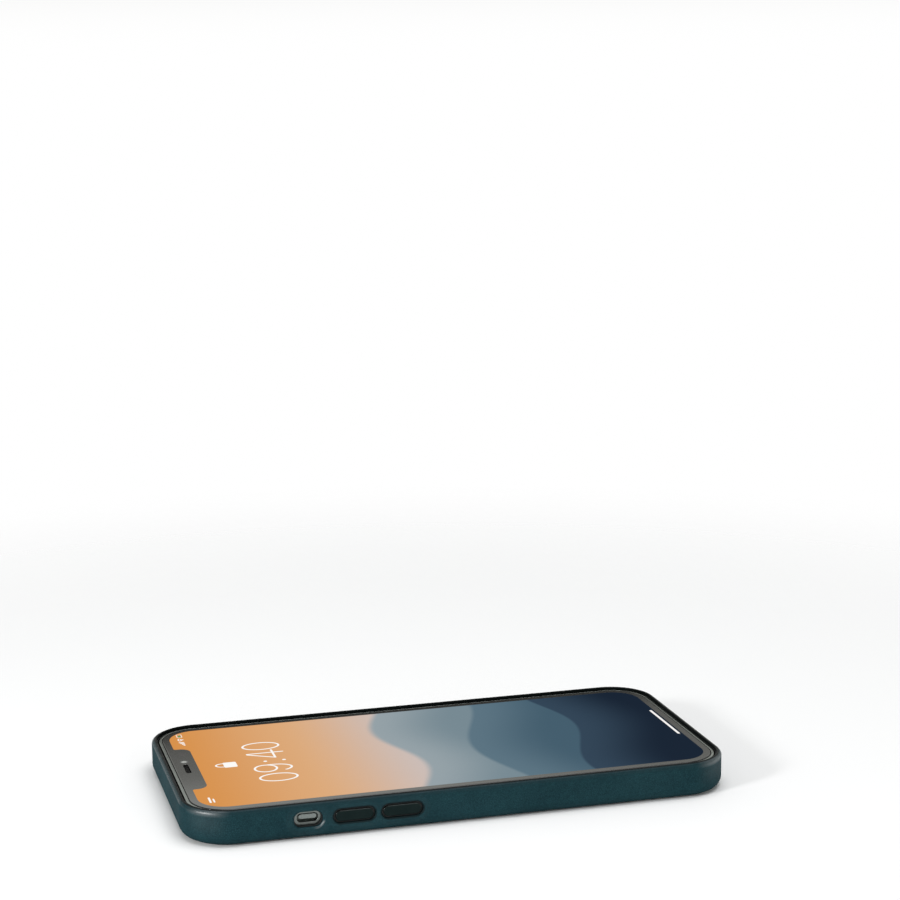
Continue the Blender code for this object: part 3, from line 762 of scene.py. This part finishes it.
    # painted highlight: the front camera's lens has a light grey centre standing in for its glint
    lens_with_painted_glint = g.mix(g.step(eye_r, 0.6, 0.95), (0.300, 0.310, 0.295), (0.030, 0.032, 0.034))
    mask = g.mix(eye, (0.0035, 0.0035, 0.0038), lens_with_painted_glint)
    for sx, r in ((-11.6, 1.3), (12.4, 1.2), (-7.0, 0.5)):
        mask = g.mix(g.step(g.length(x - sx, y - 68.4), r, r - 0.12) * 0.8, mask, (0.010, 0.006, 0.009))
    g.put("Base Color", g.mix(lit, mask, (0.0, 0.0, 0.0)))
    g.put("Emission Color", g.mix(lit, (0.0, 0.0, 0.0), picture))
    g.put("Emission Strength", 1.0)
    g.put("Coat Weight", g.step(lit, 0.0, 1.0, 1.0, 0.01, smooth=False))
    smear = g.noise(9.0, 4, 0.6)
    g.put("Roughness", g.step(smear, 0.3, 0.75, 0.14, 0.22) + lit * 0.35)
    return g.mat


def lens_material():
    g = Graph("coated_lens", (0.01, 0.01, 0.014), 0.05, Coat_Weight=1.0, Coat_Roughness=0.02)
    x, y, z = g.xyz()
    r = g.smallest(*[g.length(x - CAMERA_X, y - ly) for ly in LENS_Y])
    base = g.mix(g.step(r, 1.0, 1.5), (0.030, 0.022, 0.060), (0.006, 0.006, 0.009))
    base = g.mix(g.step(g.math("ABSOLUTE", r - 2.15), 0.16, 0.05), base, (0.020, 0.026, 0.040))
    base = g.mix(g.step(g.math("ABSOLUTE", r - 3.2), 0.2, 0.08), base, (0.016, 0.016, 0.018))
    base = g.mix(g.step(r, 3.85, 4.0), base, (0.003, 0.003, 0.003))
    g.put("Base Color", base)
    g.put("Roughness", g.step(g.noise(1.0), 0.3, 0.7, 0.04, 0.08))
    rings = g.math("SINE", r * 14.0) * 0.5 + 0.5
    g.bump(rings * g.step(r, 2.2, 2.6) * g.step(r, 3.9, 3.7), 0.05, 0.6)
    return g.mat


def flash_material():
    g = Graph("flash_lens", (0.8, 0.77, 0.62), 0.18, Coat_Weight=1.0, Coat_Roughness=0.05)
    x, y, z = g.xyz()
    r = g.length(x - CAMERA_X, y - FLASH_Y)
    rings = g.math("ABSOLUTE", g.math("FRACT", r * 2.6) - 0.5) * 2.0
    base = g.mix(rings, (0.62, 0.58, 0.44), (0.86, 0.84, 0.74))
    chip = g.largest(g.math("ABSOLUTE", x - CAMERA_X) - 0.75, g.math("ABSOLUTE", y - FLASH_Y) - 0.75)
    g.put("Base Color", g.mix(g.step(chip, 0.15, -0.1) * 0.75, base, (0.90, 0.72, 0.18)))
    g.put("Roughness", g.step(g.noise(0.3), 0.3, 0.7, 0.14, 0.24))
    g.bump(rings, 0.08, 0.7)
    return g.mat


def switch_material():
    """The slider's satin metal, with the warning-coloured strip that shows above it when it is down."""
    g = Graph("switch_metal", (0.62, 0.63, 0.62), 0.3, 1.0)
    x, y, z = g.xyz()
    fine = g.noise(0.07, 3, 0.6, vector=g.stretched(1.0, 0.2, 1.0))
    strip = g.step(z, 6.30, 6.36) * g.step(x, -34.4, -33.9)
    g.put("Base Color", g.mix(strip, g.mix(fine, (0.170, 0.192, 0.184), (0.240, 0.264, 0.254)), (0.80, 0.16, 0.02)))
    g.put("Metallic", 1.0 - strip)
    g.put("Roughness", g.step(fine, 0.3, 0.7, 0.24, 0.38))
    g.bump(fine, 0.005, 0.4)
    return g.mat


def tongue_material():
    g = Graph("contact_tongue", (0.02, 0.02, 0.02), 0.45)
    x, y, z = g.xyz()
    pins = g.step(g.math("ABSOLUTE", g.math("FRACT", x * 2.0) - 0.5), 0.20, 0.26)
    zone = g.step(g.math("ABSOLUTE", x), 2.95, 2.85) * g.step(y, -68.0, -68.3)
    contact = pins * zone
    g.put("Base Color", g.mix(contact, g.mix(g.noise(0.2), (0.012, 0.012, 0.012), (0.03, 0.03, 0.03)), (0.80, 0.60, 0.24)))
    g.put("Metallic", contact)
    g.put("Roughness", g.step(contact, 0.0, 1.0, 0.5, 0.25))
    g.bump(pins * zone, 0.03, 0.6)
    return g.mat


def mesh_material(name="woven_mesh", metallic=0.7):
    """A fine woven mesh."""
    g = Graph(name, (0.02, 0.02, 0.022), 0.45, metallic, Specular_IOR_Level=0.2 if metallic else 0.05)
    x, y, z = g.xyz()
    u = g.math("ABSOLUTE", g.math("FRACT", (x + z) * 4.0) - 0.5)
    v = g.math("ABSOLUTE", g.math("FRACT", (y + z + x) * 4.0) - 0.5)
    wire = g.step(g.largest(u, v), 0.28, 0.36)
    g.put("Base Color", g.mix(wire, (0.003, 0.003, 0.003), (0.020, 0.020, 0.022) if metallic else (0.005, 0.005, 0.005)))
    g.put("Roughness", g.step(g.noise(0.3), 0.3, 0.7, 0.5, 0.65))
    g.bump(wire, 0.05, 0.8)
    return g.mat


LEATHER = leather_material()
LINING = lining_material()
SHELL = plastic_material("shell_plastic", (0.0045, 0.0060, 0.0065), (0.0090, 0.0110, 0.0120), 0.5, 0.7, 0.15, 0.01)
FRAME_METAL = metal_material("frame_satin_metal", (0.130, 0.146, 0.139), (0.182, 0.200, 0.190), 0.26, 0.34, 0.08, (0.35, 0.35, 2.2), polished=8.6)
KEY_METAL = metal_material("key_satin_metal", (0.23, 0.238, 0.23), (0.32, 0.326, 0.315), 0.24, 0.36, 0.06, (1.0, 0.2, 2.0))
CAP_METAL = cap_material()
RING_METAL = metal_material("ring_polished_metal", (0.55, 0.56, 0.56), (0.70, 0.71, 0.70), 0.12, 0.20, 0.05)
TRIM_METAL = metal_material("trim_dark_metal", (0.014, 0.020, 0.021), (0.026, 0.034, 0.035), 0.26, 0.40, 0.06)
ANTENNA = plastic_material("antenna_polymer", (0.30, 0.31, 0.31), (0.38, 0.39, 0.39), 0.42, 0.55, 0.1)
SCREEN = screen_material()
BACK_GLASS = rear_glass_material()
LENS = lens_material()
FLASH = flash_material()
SWITCH = switch_material()
TONGUE = tongue_material()
MESH = mesh_material()
EAR_MESH = mesh_material("earpiece_weave", 0.0)
STEEL = metal_material("stamped_steel", (0.44, 0.44, 0.44), (0.60, 0.60, 0.60), 0.28, 0.42, 0.10, (1.0, 0.15, 1.0))
ALUMINIUM = metal_material("machined_aluminium", (0.50, 0.50, 0.51), (0.66, 0.66, 0.67), 0.30, 0.44, 0.12, (0.15, 1.0, 1.0))
MAGNET = metal_material("plated_magnet", (0.36, 0.36, 0.37), (0.50, 0.50, 0.51), 0.20, 0.32, 0.08)
TUNGSTEN = metal_material("sintered_weight", (0.22, 0.22, 0.22), (0.34, 0.34, 0.33), 0.36, 0.52, 0.15)
BLACK = plastic_material("black_moulding", (0.012, 0.012, 0.013), (0.026, 0.026, 0.028), 0.42, 0.60)
FERRITE = plastic_material("ferrite_sheet", (0.036, 0.036, 0.040), (0.060, 0.060, 0.066), 0.60, 0.80, 0.3, 0.02)
SEAL = plastic_material("foam_seal", (0.010, 0.010, 0.010), (0.022, 0.022, 0.022), 0.75, 0.95, 0.1, 0.03)
FLEX = plastic_material("polyimide_flex", (0.16, 0.07, 0.018), (0.27, 0.13, 0.035), 0.30, 0.45, 0.4, 0.01)
PANEL = plastic_material("display_stack", (0.30, 0.30, 0.33), (0.42, 0.42, 0.46), 0.20, 0.30, 0.3, 0.004)
BOARD = board_material()
COIL = coil_material()
BATTERY = battery_material()

# ================================================================== the case
# leather: floor, rounded wall, and a lip that folds over the shell
leather_path = rounded_path(
    [
        (-8.0, 0.5, 0),
        (1.0, 0.5, 2.0),
        (1.0, 8.75, 0.12),
        (0.42, 8.75, 0.1),
        (0.42, 9.6, 0.15),
        (1.8, 9.6, 1.2),
        (1.8, 0.0, 2.8),
        (-8.0, 0.0, 0),
    ],
    11.25,
)
leather = swept("case_leather_skin", leather_path)


def pill(length, height):
    return lambda grow: stadium(length, height, grow)


def long_pill(width, length):
    return lambda grow: upright(width, length, grow)


cutters = []
for y, length in ((VOLUME_UP_Y, 11.0), (VOLUME_DOWN_Y, 11.0)):
    cutters.append(prism("c", pill(length, 3.7), "X", (y, MID_Z), -OUT, 1, flare(0.85, 0.55, 1.2, 8)))
cutters.append(prism("c", pill(17.4, 3.7), "X", (POWER_Y, MID_Z), OUT, -1, flare(0.85, 0.55, 1.2, 8)))
cutters.append(prism("c", pill(7.6, 4.1), "X", (MUTE_Y, MID_Z), -OUT, 1, flare(0.8, 0.75, 1.2, 8)))
cutters.append(prism("c", pill(13.0, 6.0), "Y", (0, MID_Z), -(HALF_L + WALL), 1, flare(0.45, 0.5, 1.2, 7)))
for x in SPEAKER_X + MIC_X:
    cutters.append(
        prism("c", lambda grow: circle(0.85 + grow, 24), "Y", (x, MID_Z), -(HALF_L + WALL), 1, flare(0.22, 0.25, 1.2, 4))
    )
cutters.append(
    prism("c", long_pill(PLATEAU_W + 2.4, PLATEAU_L + 2.4), "Z", (CAMERA_X, CAMERA_Y), 0.0, 1, flare(0.4, 0.4, 0.8, 6))
)
carve(leather, joined("leather_cutters", cutters))
dress(leather, LEATHER, "case", "case_leather")


def case_key(name, node, body, y, side, length):
    """A key cap with a softly rounded rim, and the nub behind it."""
    outer = side * (OUT - 0.27)
    cap = prism(
        name, pill(length, 2.9), "X", (y, MID_Z), outer, -side, edge_in(0.5, 8, 0.2) + [(0.28, 0.0)]
    )
    nub = prism(
        name + "_nub", pill(length - 2.2 if length < 12 else 13.0, 2.0), "X", (y, MID_Z), outer - side * 0.1, -side, [(0.0, 0.0), (0.98, 0.0)]
    )
    carve(cap, nub, operation="UNION")
    return dress(cap, CAP_METAL, body, node)


case_key("case_key_volume_up", "case_volume_up_cap", "case_volume_up_key", VOLUME_UP_Y, -1, 10.2)
case_key("case_key_volume_down", "case_volume_down_cap", "case_volume_down_key", VOLUME_DOWN_Y, -1, 10.2)
case_key("case_key_power", "case_power_cap", "case_power_key", POWER_Y, 1, 16.6)

liner = carve(
    prism("switch_window_liner", pill(8.2, 4.7), "X", (MUTE_Y, MID_Z), -(HALF_W + 0.6), 1, edge_in(0.1, 3) + [(0.3, 0.0)]),
    prism("c", pill(7.1, 3.9), "X", (MUTE_Y, MID_Z), -(HALF_W + 0.6), 1, flare(0.08, 0.1, 1.2, 4)),
)
dress(liner, SHELL, "case", ())

trim = carve(
    prism("case_window_trim", long_pill(PLATEAU_W + 2.2, PLATEAU_L + 2.2), "Z", (CAMERA_X, CAMERA_Y), 0.15, 1, edge_in(0.25, 5) + [(1.2, 0.0)]),
    prism("c", long_pill(PLATEAU_W + 1.0, PLATEAU_L + 1.0), "Z", (CAMERA_X, CAMERA_Y), 0.15, 1, flare(0.2, 0.25, 1.6, 5)),
)
dress(trim, TRIM_METAL, "case", "case_camera_trim")

lining = carve(
    prism("case_soft_lining", lambda grow: phone(-0.85 + grow), "Z", (0, 0), 1.45, 1, [(0.0, 0.0), (0.1, 0.0), (0.15, -0.05)]),
    prism("c", long_pill(PLATEAU_W + 2.4, PLATEAU_L + 2.4), "Z", (CAMERA_X, CAMERA_Y), 1.0, 1, [(0.0, 0.0), (1.2, 0.0)]),
)
dress(lining, LINING, "case", "case_lining")

# ================================================================== the phone
band = swept(
    "metal_frame",
    rounded_path(
        [
            (0.0, 1.8, 0.5),
            (0.0, 9.0, 0.5),
            (-1.0, 9.0, 0.05),
            (-1.0, 8.0, 0),
            (-2.2, 8.0, 0),
            (-2.2, 2.4, 0),
            (-1.0, 2.4, 0),
            (-1.0, 1.8, 0.1),
        ],
        15.0,
        closed=True,
    ),
    loop=True,
)
cutters = []
for y, length, side in ((VOLUME_UP_Y, 10.6, -1), (VOLUME_DOWN_Y, 10.6, -1), (POWER_Y, 17.0, 1)):
    cutters.append(prism("c", pill(length, 2.6), "X", (y, MID_Z), side * HALF_W, -side, flare(0.16, 0.16, 3.4, 5)))
cutters.append(
    prism("c", lambda grow: corner_arcs(2.75 + grow, 1.15 + grow, 0.95 + grow, 12), "X", (MUTE_Y, MID_Z + 0.05), -HALF_W, 1, flare(0.12, 0.12, 3.4, 5))
)
cutters.append(prism("c", pill(14.56, 2.36), "X", (SIM_Y, MID_Z), -HALF_W, 1, flare(0.08, 0.08, 3.4, 4)))
cutters.append(prism("c", pill(9.1, 3.3), "Y", (0, MID_Z), -HALF_L, 1, flare(0.18, 0.18, 3.4, 5)))
for x in SPEAKER_X + MIC_X:
    cutters.append(prism("c", lambda grow: circle(0.7 + grow, 28), "Y", (x, MID_Z), -HALF_L, 1, flare(0.12, 0.12, 3.4, 4)))
for x in (-SCREW_X, SCREW_X):
    cutters.append(prism("c", lambda grow: circle(0.95 + grow, 28), "Y", (x, MID_Z), -HALF_L, 1, flare(0.1, 0.1, 3.4, 4)))
for sx in (1, -1):
    for sy in (1, -1):
        xs = sorted((sx * 35.15, sx * 37.0))
        cutters.append(box("c", xs, (sy * 58.0 - 0.62, sy * 58.0 + 0.62), (2.3, 8.5)))
carve(band, joined("band_cutters", cutters))
dress(band, FRAME_METAL, "phone", "mid_frame")

for node in ("right_top", "left_top", "left_bottom", "right_bottom"):
    name = "antenna_break_" + node
    low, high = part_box(name)
    side = 1 if low.x > 0 else -1
    outer = side * (HALF_W - 0.01)
    middle = (low.y + high.y) / 2 / MM
    strip = prism(
        "antenna_strip_" + node,
        lambda grow: corner_arcs(0.6 + grow, 3.08 + grow, 0.12, 3),
        "X",
        (middle, 5.4),
        outer,
        -side,
        [(0.0, -0.06), (0.06, 0.0), (0.5, 0.0)],
    )
    dress(strip, ANTENNA, "phone", name)

# front: laminated glass with a softly rounded edge and the earpiece slot
front = prism(
    "front_screen_glass", lambda grow: phone(-1.1 + grow), "Z", (0, 0), GLASS_TOP, -1, edge_in(0.3, 7) + [(0.62, 0.0), (0.7, -0.08)]
)
carve(front, prism("c", pill(7.2, 1.4), "Z", (0, 69.0), GLASS_TOP, -1, flare(0.08, 0.08, 1.4, 4)))
dress(front, SCREEN, "phone", "front_glass")
ear = prism("earpiece_grille", pill(6.9, 1.1), "Z", (0, 69.0), 8.8, -1, [(0.0, -0.05), (0.05, 0.0), (0.5, 0.0)])
dress(ear, EAR_MESH, "phone", "earpiece_mesh")

# rear glass, camera plateau, lens rings and lenses
rear = carve(
    prism("rear_glass_panel", lambda grow: phone(-1.1 + grow), "Z", (0, 0), 1.7, 1, edge_in(0.25, 6) + [(0.6, 0.0)]),
    prism("c", long_pill(PLATEAU_W + 0.3, PLATEAU_L + 0.3), "Z", (CAMERA_X, CAMERA_Y), 1.7, 1, flare(0.1, 0.1, 1.2, 4)),
)
dress(rear, BACK_GLASS, "phone", "rear_glass")
plateau = carve(
    prism("camera_plateau_glass", long_pill(PLATEAU_W, PLATEAU_L), "Z", (CAMERA_X, CAMERA_Y), 0.8, 1, edge_in(0.45, 8) + [(1.5, 0.0)]),
    joined(
        "c",
        [
            prism("c", lambda grow: circle(5.9 + grow, 72), "Z", (CAMERA_X, LENS_Y[0]), 0.8, 1, flare(0.1, 0.1, 2.2, 4)),
            prism("c", lambda grow: circle(5.9 + grow, 72), "Z", (CAMERA_X, LENS_Y[1]), 0.8, 1, flare(0.1, 0.1, 2.2, 4)),
            prism("c", lambda grow: circle(2.1 + grow, 40), "Z", (CAMERA_X, FLASH_Y), 0.8, 1, flare(0.1, 0.1, 2.2, 4)),
        ],
    ),
)
dress(plateau, BACK_GLASS, "phone", "camera_plateau")
for tag, y in (("wide", LENS_Y[0]), ("ultrawide", LENS_Y[1])):
    ring = turned(
        "lens_collar_" + tag,
        rounded_path([(5.75, 2.3, 0.05), (5.75, 0.35, 0.28), (4.75, 0.35, 0.14), (4.7, 2.3, 0.05)], 18.0, closed=True),
        (CAMERA_X, y),
        96,
    )
    dress(ring, RING_METAL, "phone", "lens_ring_" + tag)
    lens = turned_solid(
        "lens_cover_" + tag,
        [(4.4, 1.2), (4.55, 1.12), (4.55, 0.72), (4.47, 0.64), (4.3, 0.6), (3.0, 0.575), (1.5, 0.56), (0.2, 0.555)],
        (CAMERA_X, y),
        80,
    )
    dress(lens, LENS, "phone", "lens_glass_" + tag)
flash = turned_solid(
    "flash_window", [(1.9, 1.9), (1.95, 1.85), (1.95, 0.9), (1.85, 0.78), (1.6, 0.75), (0.2, 0.74)], (CAMERA_X, FLASH_Y), 48
)
dress(flash, FLASH, "phone", "flash_led")


def phone_key(name, node, body, y, side, length):
    outer = side * (HALF_W + 0.3)
    key = prism(name, pill(length, 2.4), "X", (y, MID_Z), outer, -side, edge_in(0.28, 6) + [(2.9, 0.0)])
    wall = HALF_W + 0.3 - (HALF_W - 2.2)
    flange = prism(
        name + "_flange",
        lambda grow: corner_arcs(length / 2 + 0.7 + grow, 1.8 + grow, 0.5 + grow, 4),
        "X",
        (y, MID_Z),
        outer,
        -side,
        [(wall + 0.15, 0.0), (wall + 0.65, 0.0)],
    )
    carve(key, flange, operation="UNION")
    return dress(key, KEY_METAL, body, node)


phone_key("key_volume_up", "volume_up_button", "volume_up_key", VOLUME_UP_Y, -1, 10.4)
phone_key("key_volume_down", "volume_down_button", "volume_down_key", VOLUME_DOWN_Y, -1, 10.4)
phone_key("key_side", "side_button", "side_key", POWER_Y, 1, 16.8)

slider = prism("ring_switch_slider", pill(4.9, 1.3), "X", (MUTE_Y, MID_Z + 0.4), -35.87, 1, edge_in(0.14, 5) + [(2.6, 0.0)])
flange = prism(
    "f", lambda grow: corner_arcs(3.4 + grow, 1.5 + grow, 0.4 + grow, 4), "X", (MUTE_Y, MID_Z + 0.4), -35.87, 1, [(2.47, 0.0), (2.87, 0.0)]
)
carve(slider, flange, operation="UNION")
dress(slider, SWITCH, "ring_switch", "mute_switch")

tray = prism("card_tray", pill(14.4, 2.2), "X", (SIM_Y, MID_Z), -(HALF_W - 0.02), 1, edge_in(0.06, 3) + [(0.95, 0.0)])
carve(tray, box("c", (-35.2, -21.5), (SIM_Y - 6.3, SIM_Y + 6.3), (5.2, 6.0)), operation="UNION")
carve(tray, prism("c", lambda grow: circle(0.45 + grow, 24), "X", (SIM_Y - 5.9, MID_Z), -(HALF_W - 0.02), 1, flare(0.08, 0.08, 0.7, 3)))
dress(tray, KEY_METAL, "phone", "sim_tray")

# the port: a drawn metal mouth with its tongue
port = carve(
    prism("port_shell", pill(8.9, 3.1), "Y", (0, MID_Z), -73.25, 1, edge_in(0.1, 3) + [(7.45, 0.0)]),
    prism("c", pill(8.3, 2.5), "Y", (0, MID_Z), -73.25, 1, flare(0.12, 0.14, 7.05, 4)),
)
dress(port, STEEL, "phone", "charging_port")

# dark woven strips that close the sound holes from inside
for name, xs in (("speaker_strip", SPEAKER_X), ("microphone_strip", MIC_X)):
    low, high = min(xs) - 1.2, max(xs) + 1.2
    strip = prism(
        name,
        lambda grow: corner_arcs((high - low) / 2 + grow, 1.3 + grow, 0.5 + grow, 6),
        "Y",
        ((low + high) / 2, MID_Z),
        -(HALF_L - 2.35),
        1,
        [(0.0, 0.0), (0.25, 0.0)],
    )
    dress(strip, MESH, "phone", ())

# ------------------------------------------------------------------ pieces carried over from the frame
CARRIED = {
    "case_shell": SHELL,
    "case_magnet_ring": MAGNET,
    "case_align_magnet": MAGNET,
    "mid_plate": ALUMINIUM,
    "display_panel": PANEL,
    "display_backplate": STEEL,
    "display_gasket": SEAL,
    "battery": BATTERY,
    "logic_board": BOARD,
    "processor_shield": ALUMINIUM,
    "radio_shield": ALUMINIUM,
    "charging_coil": COIL,
    "ferrite_sheet": FERRITE,
    "magnet_ring": MAGNET,
    "align_magnet": MAGNET,
    "rear_camera_housing": ALUMINIUM,
    "lens_barrel_wide": BLACK,
    "lens_barrel_ultrawide": BLACK,
    "earpiece_speaker": BLACK,
    "front_camera": BLACK,
    "infrared_camera": BLACK,
    "face_projector": ALUMINIUM,
    "speaker_module": BLACK,
    "haptic_housing": STEEL,
    "haptic_cover": STEEL,
    "haptic_mass": TUNGSTEN,
    "port_tongue": TONGUE,
    "dock_flex": FLEX,
    "volume_flex": FLEX,
    "power_flex": FLEX,
    "mute_switch_body": BLACK,
    "sim_reader": STEEL,
    "bottom_screw_left": STEEL,
    "bottom_screw_right": STEEL,
}
for node, material in CARRIED.items():
    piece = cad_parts[node]
    piece.data.materials.clear()
    piece.data.materials.append(material)

# ================================================================== floor, light and camera
floor_mesh = bpy.data.meshes.new("studio_floor")
work = bmesh.new()
bmesh.ops.create_circle(work, cap_ends=True, radius=6.0, segments=96)
work.to_mesh(floor_mesh)
work.free()
floor = bpy.data.objects.new("studio_floor", floor_mesh)
bpy.context.scene.collection.objects.link(floor)
floor.location.z = -0.0002
floor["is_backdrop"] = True
paper = bpy.data.materials.new("pale_floor")
paper.use_nodes = True
nodes, links = paper.node_tree.nodes, paper.node_tree.links
matte = nodes["Principled BSDF"]
matte.inputs["Base Color"].default_value = (0.86, 0.86, 0.86, 1.0)
matte.inputs["Roughness"].default_value = 0.9
matte.inputs["Specular IOR Level"].default_value = 0.1
# the floor melts into the white surround; it is one-sided and open under the object, so that
# the back can be seen from below
where = nodes.new("ShaderNodeNewGeometry")
reach = nodes.new("ShaderNodeVectorMath")
reach.operation = "LENGTH"
links.new(where.outputs["Position"], reach.inputs[0])
fade = nodes.new("ShaderNodeMapRange")
fade.interpolation_type = "SMOOTHSTEP"
fade.inputs["From Min"].default_value = 0.15
fade.inputs["From Max"].default_value = 0.42
links.new(reach.outputs["Value"], fade.inputs["Value"])
split = nodes.new("ShaderNodeSeparateXYZ")
links.new(where.outputs["Position"], split.inputs[0])


def floor_math(operation, *values):
    node = nodes.new("ShaderNodeMath")
    node.operation = operation
    for socket, value in zip(node.inputs, values):
        if isinstance(value, bpy.types.NodeSocket):
            links.new(value, socket)
        else:
            socket.default_value = value
    return node.outputs[0]


corner = (CORNER + WALL) * MM
across = floor_math("SUBTRACT", floor_math("ABSOLUTE", split.outputs["X"]), OUT * MM - corner)
along = floor_math("SUBTRACT", floor_math("ABSOLUTE", split.outputs["Y"]), (HALF_L + WALL) * MM - corner)
square_x = floor_math("POWER", floor_math("MAXIMUM", across, 0.0), 2.0)
square_y = floor_math("POWER", floor_math("MAXIMUM", along, 0.0), 2.0)
spread = floor_math("SQRT", floor_math("ADD", square_x, square_y))
spread = floor_math("ADD", spread, floor_math("MINIMUM", floor_math("MAXIMUM", across, along), 0.0))
inside = floor_math("LESS_THAN", spread, corner - 3.0 * MM)
unseen = nodes.new("ShaderNodeMath")
unseen.operation = "MAXIMUM"
links.new(fade.outputs["Result"], unseen.inputs[0])
links.new(floor_math("MAXIMUM", where.outputs["Backfacing"], inside), unseen.inputs[1])
clear = nodes.new("ShaderNodeBsdfTransparent")
choose = nodes.new("ShaderNodeMixShader")
links.new(unseen.outputs[0], choose.inputs[0])
links.new(matte.outputs[0], choose.inputs[1])
links.new(clear.outputs[0], choose.inputs[2])
links.new(choose.outputs[0], nodes["Material Output"].inputs["Surface"])
floor_mesh.materials.append(paper)

# white below the horizon, a soft grey studio above it
world = bpy.data.worlds.new("studio")
bpy.context.scene.world = world
world.use_nodes = True
wn, wl = world.node_tree.nodes, world.node_tree.links
direction = wn.new("ShaderNodeTexCoord")
apart = wn.new("ShaderNodeSeparateXYZ")
wl.new(direction.outputs["Generated"], apart.inputs[0])
shade = wn.new("ShaderNodeValToRGB")
wl.new(apart.outputs["Z"], shade.inputs["Fac"])
ramp = shade.color_ramp
ramp.interpolation = "B_SPLINE"
ramp.elements[0].position, ramp.elements[0].color = 0.035, (1.0, 1.0, 1.0, 1.0)
ramp.elements[1].position, ramp.elements[1].color = 1.0, (0.40, 0.41, 0.43, 1.0)
for at, colour in ((0.14, (0.56, 0.56, 0.515, 1.0)), (0.40, (0.54, 0.54, 0.50, 1.0)), (0.62, (0.36, 0.37, 0.38, 1.0))):
    ramp.elements.new(at).color = colour
wl.new(shade.outputs["Color"], wn["Background"].inputs["Color"])
wn["Background"].inputs["Strength"].default_value = 1.0


def area(name, at, target, size, size_y, power, colour=(1.0, 1.0, 1.0)):
    lamp = bpy.data.lights.new(name, "AREA")
    lamp.shape = "RECTANGLE"
    lamp.size, lamp.size_y = size, size_y
    lamp.energy = power
    lamp.color = colour
    made = bpy.data.objects.new(name, lamp)
    bpy.context.scene.collection.objects.link(made)
    made.location = at
    made.rotation_mode = "QUATERNION"
    made.rotation_quaternion = (Vector(at) - Vector(target)).to_track_quat("Z", "Y")
    return made


area("soft_top", (-0.10, -0.10, 0.95), (0, 0, 0), 0.7, 0.7, 5.8)
area("key", (-0.36, 0.765, 0.34), (0, 0.05, 0), 0.14, 0.14, 4.2)
area("soft_front", (-0.95, -0.30, 0.45), (0, 0, 0), 0.5, 0.4, 0.9)
area("back_glow", (1.0, -0.20, 0.47), (0, 0, 0), 1.1, 0.17, 0.42, (0.97, 1.0, 0.96))

# a black card above the camera's view gives the far edge of the glass its dark line
card = bpy.data.meshes.new("black_card")
card.from_pydata([(1.0, -0.62, 0.262), (1.0, 0.2, 0.262), (1.0, 0.2, 0.332), (1.0, -0.62, 0.332)], [], [(0, 1, 2, 3)])
flag = bpy.data.objects.new("black_card", card)
bpy.context.scene.collection.objects.link(flag)
flag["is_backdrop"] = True
card.materials.append(plastic_material("black_cloth", (0.004, 0.004, 0.004), (0.008, 0.008, 0.008), 0.9, 1.0))

camera = bpy.data.objects.new("view", bpy.data.cameras.new("view"))
bpy.context.scene.collection.objects.link(camera)
right = Vector((-0.271024, -0.962539, -0.008014)).normalized()
back = Vector((-0.946875, 0.265097, 0.182074)).normalized()
up = back.cross(right).normalized()
right = up.cross(back).normalized()
camera.matrix_world = Matrix(
    (
        (right.x, up.x, back.x, -0.543318),
        (right.y, up.y, back.y, 0.146592),
        (right.z, up.z, back.z, 0.196988),
        (0, 0, 0, 1),
    )
)
camera.data.sensor_width = 36.0
camera.data.lens = 84.166
camera.data.clip_start, camera.data.clip_end = 0.01, 50.0
bpy.context.scene.camera = camera
bpy.context.scene.view_settings.view_transform = "Standard"

bpy.context.view_layer.update()
low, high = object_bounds()
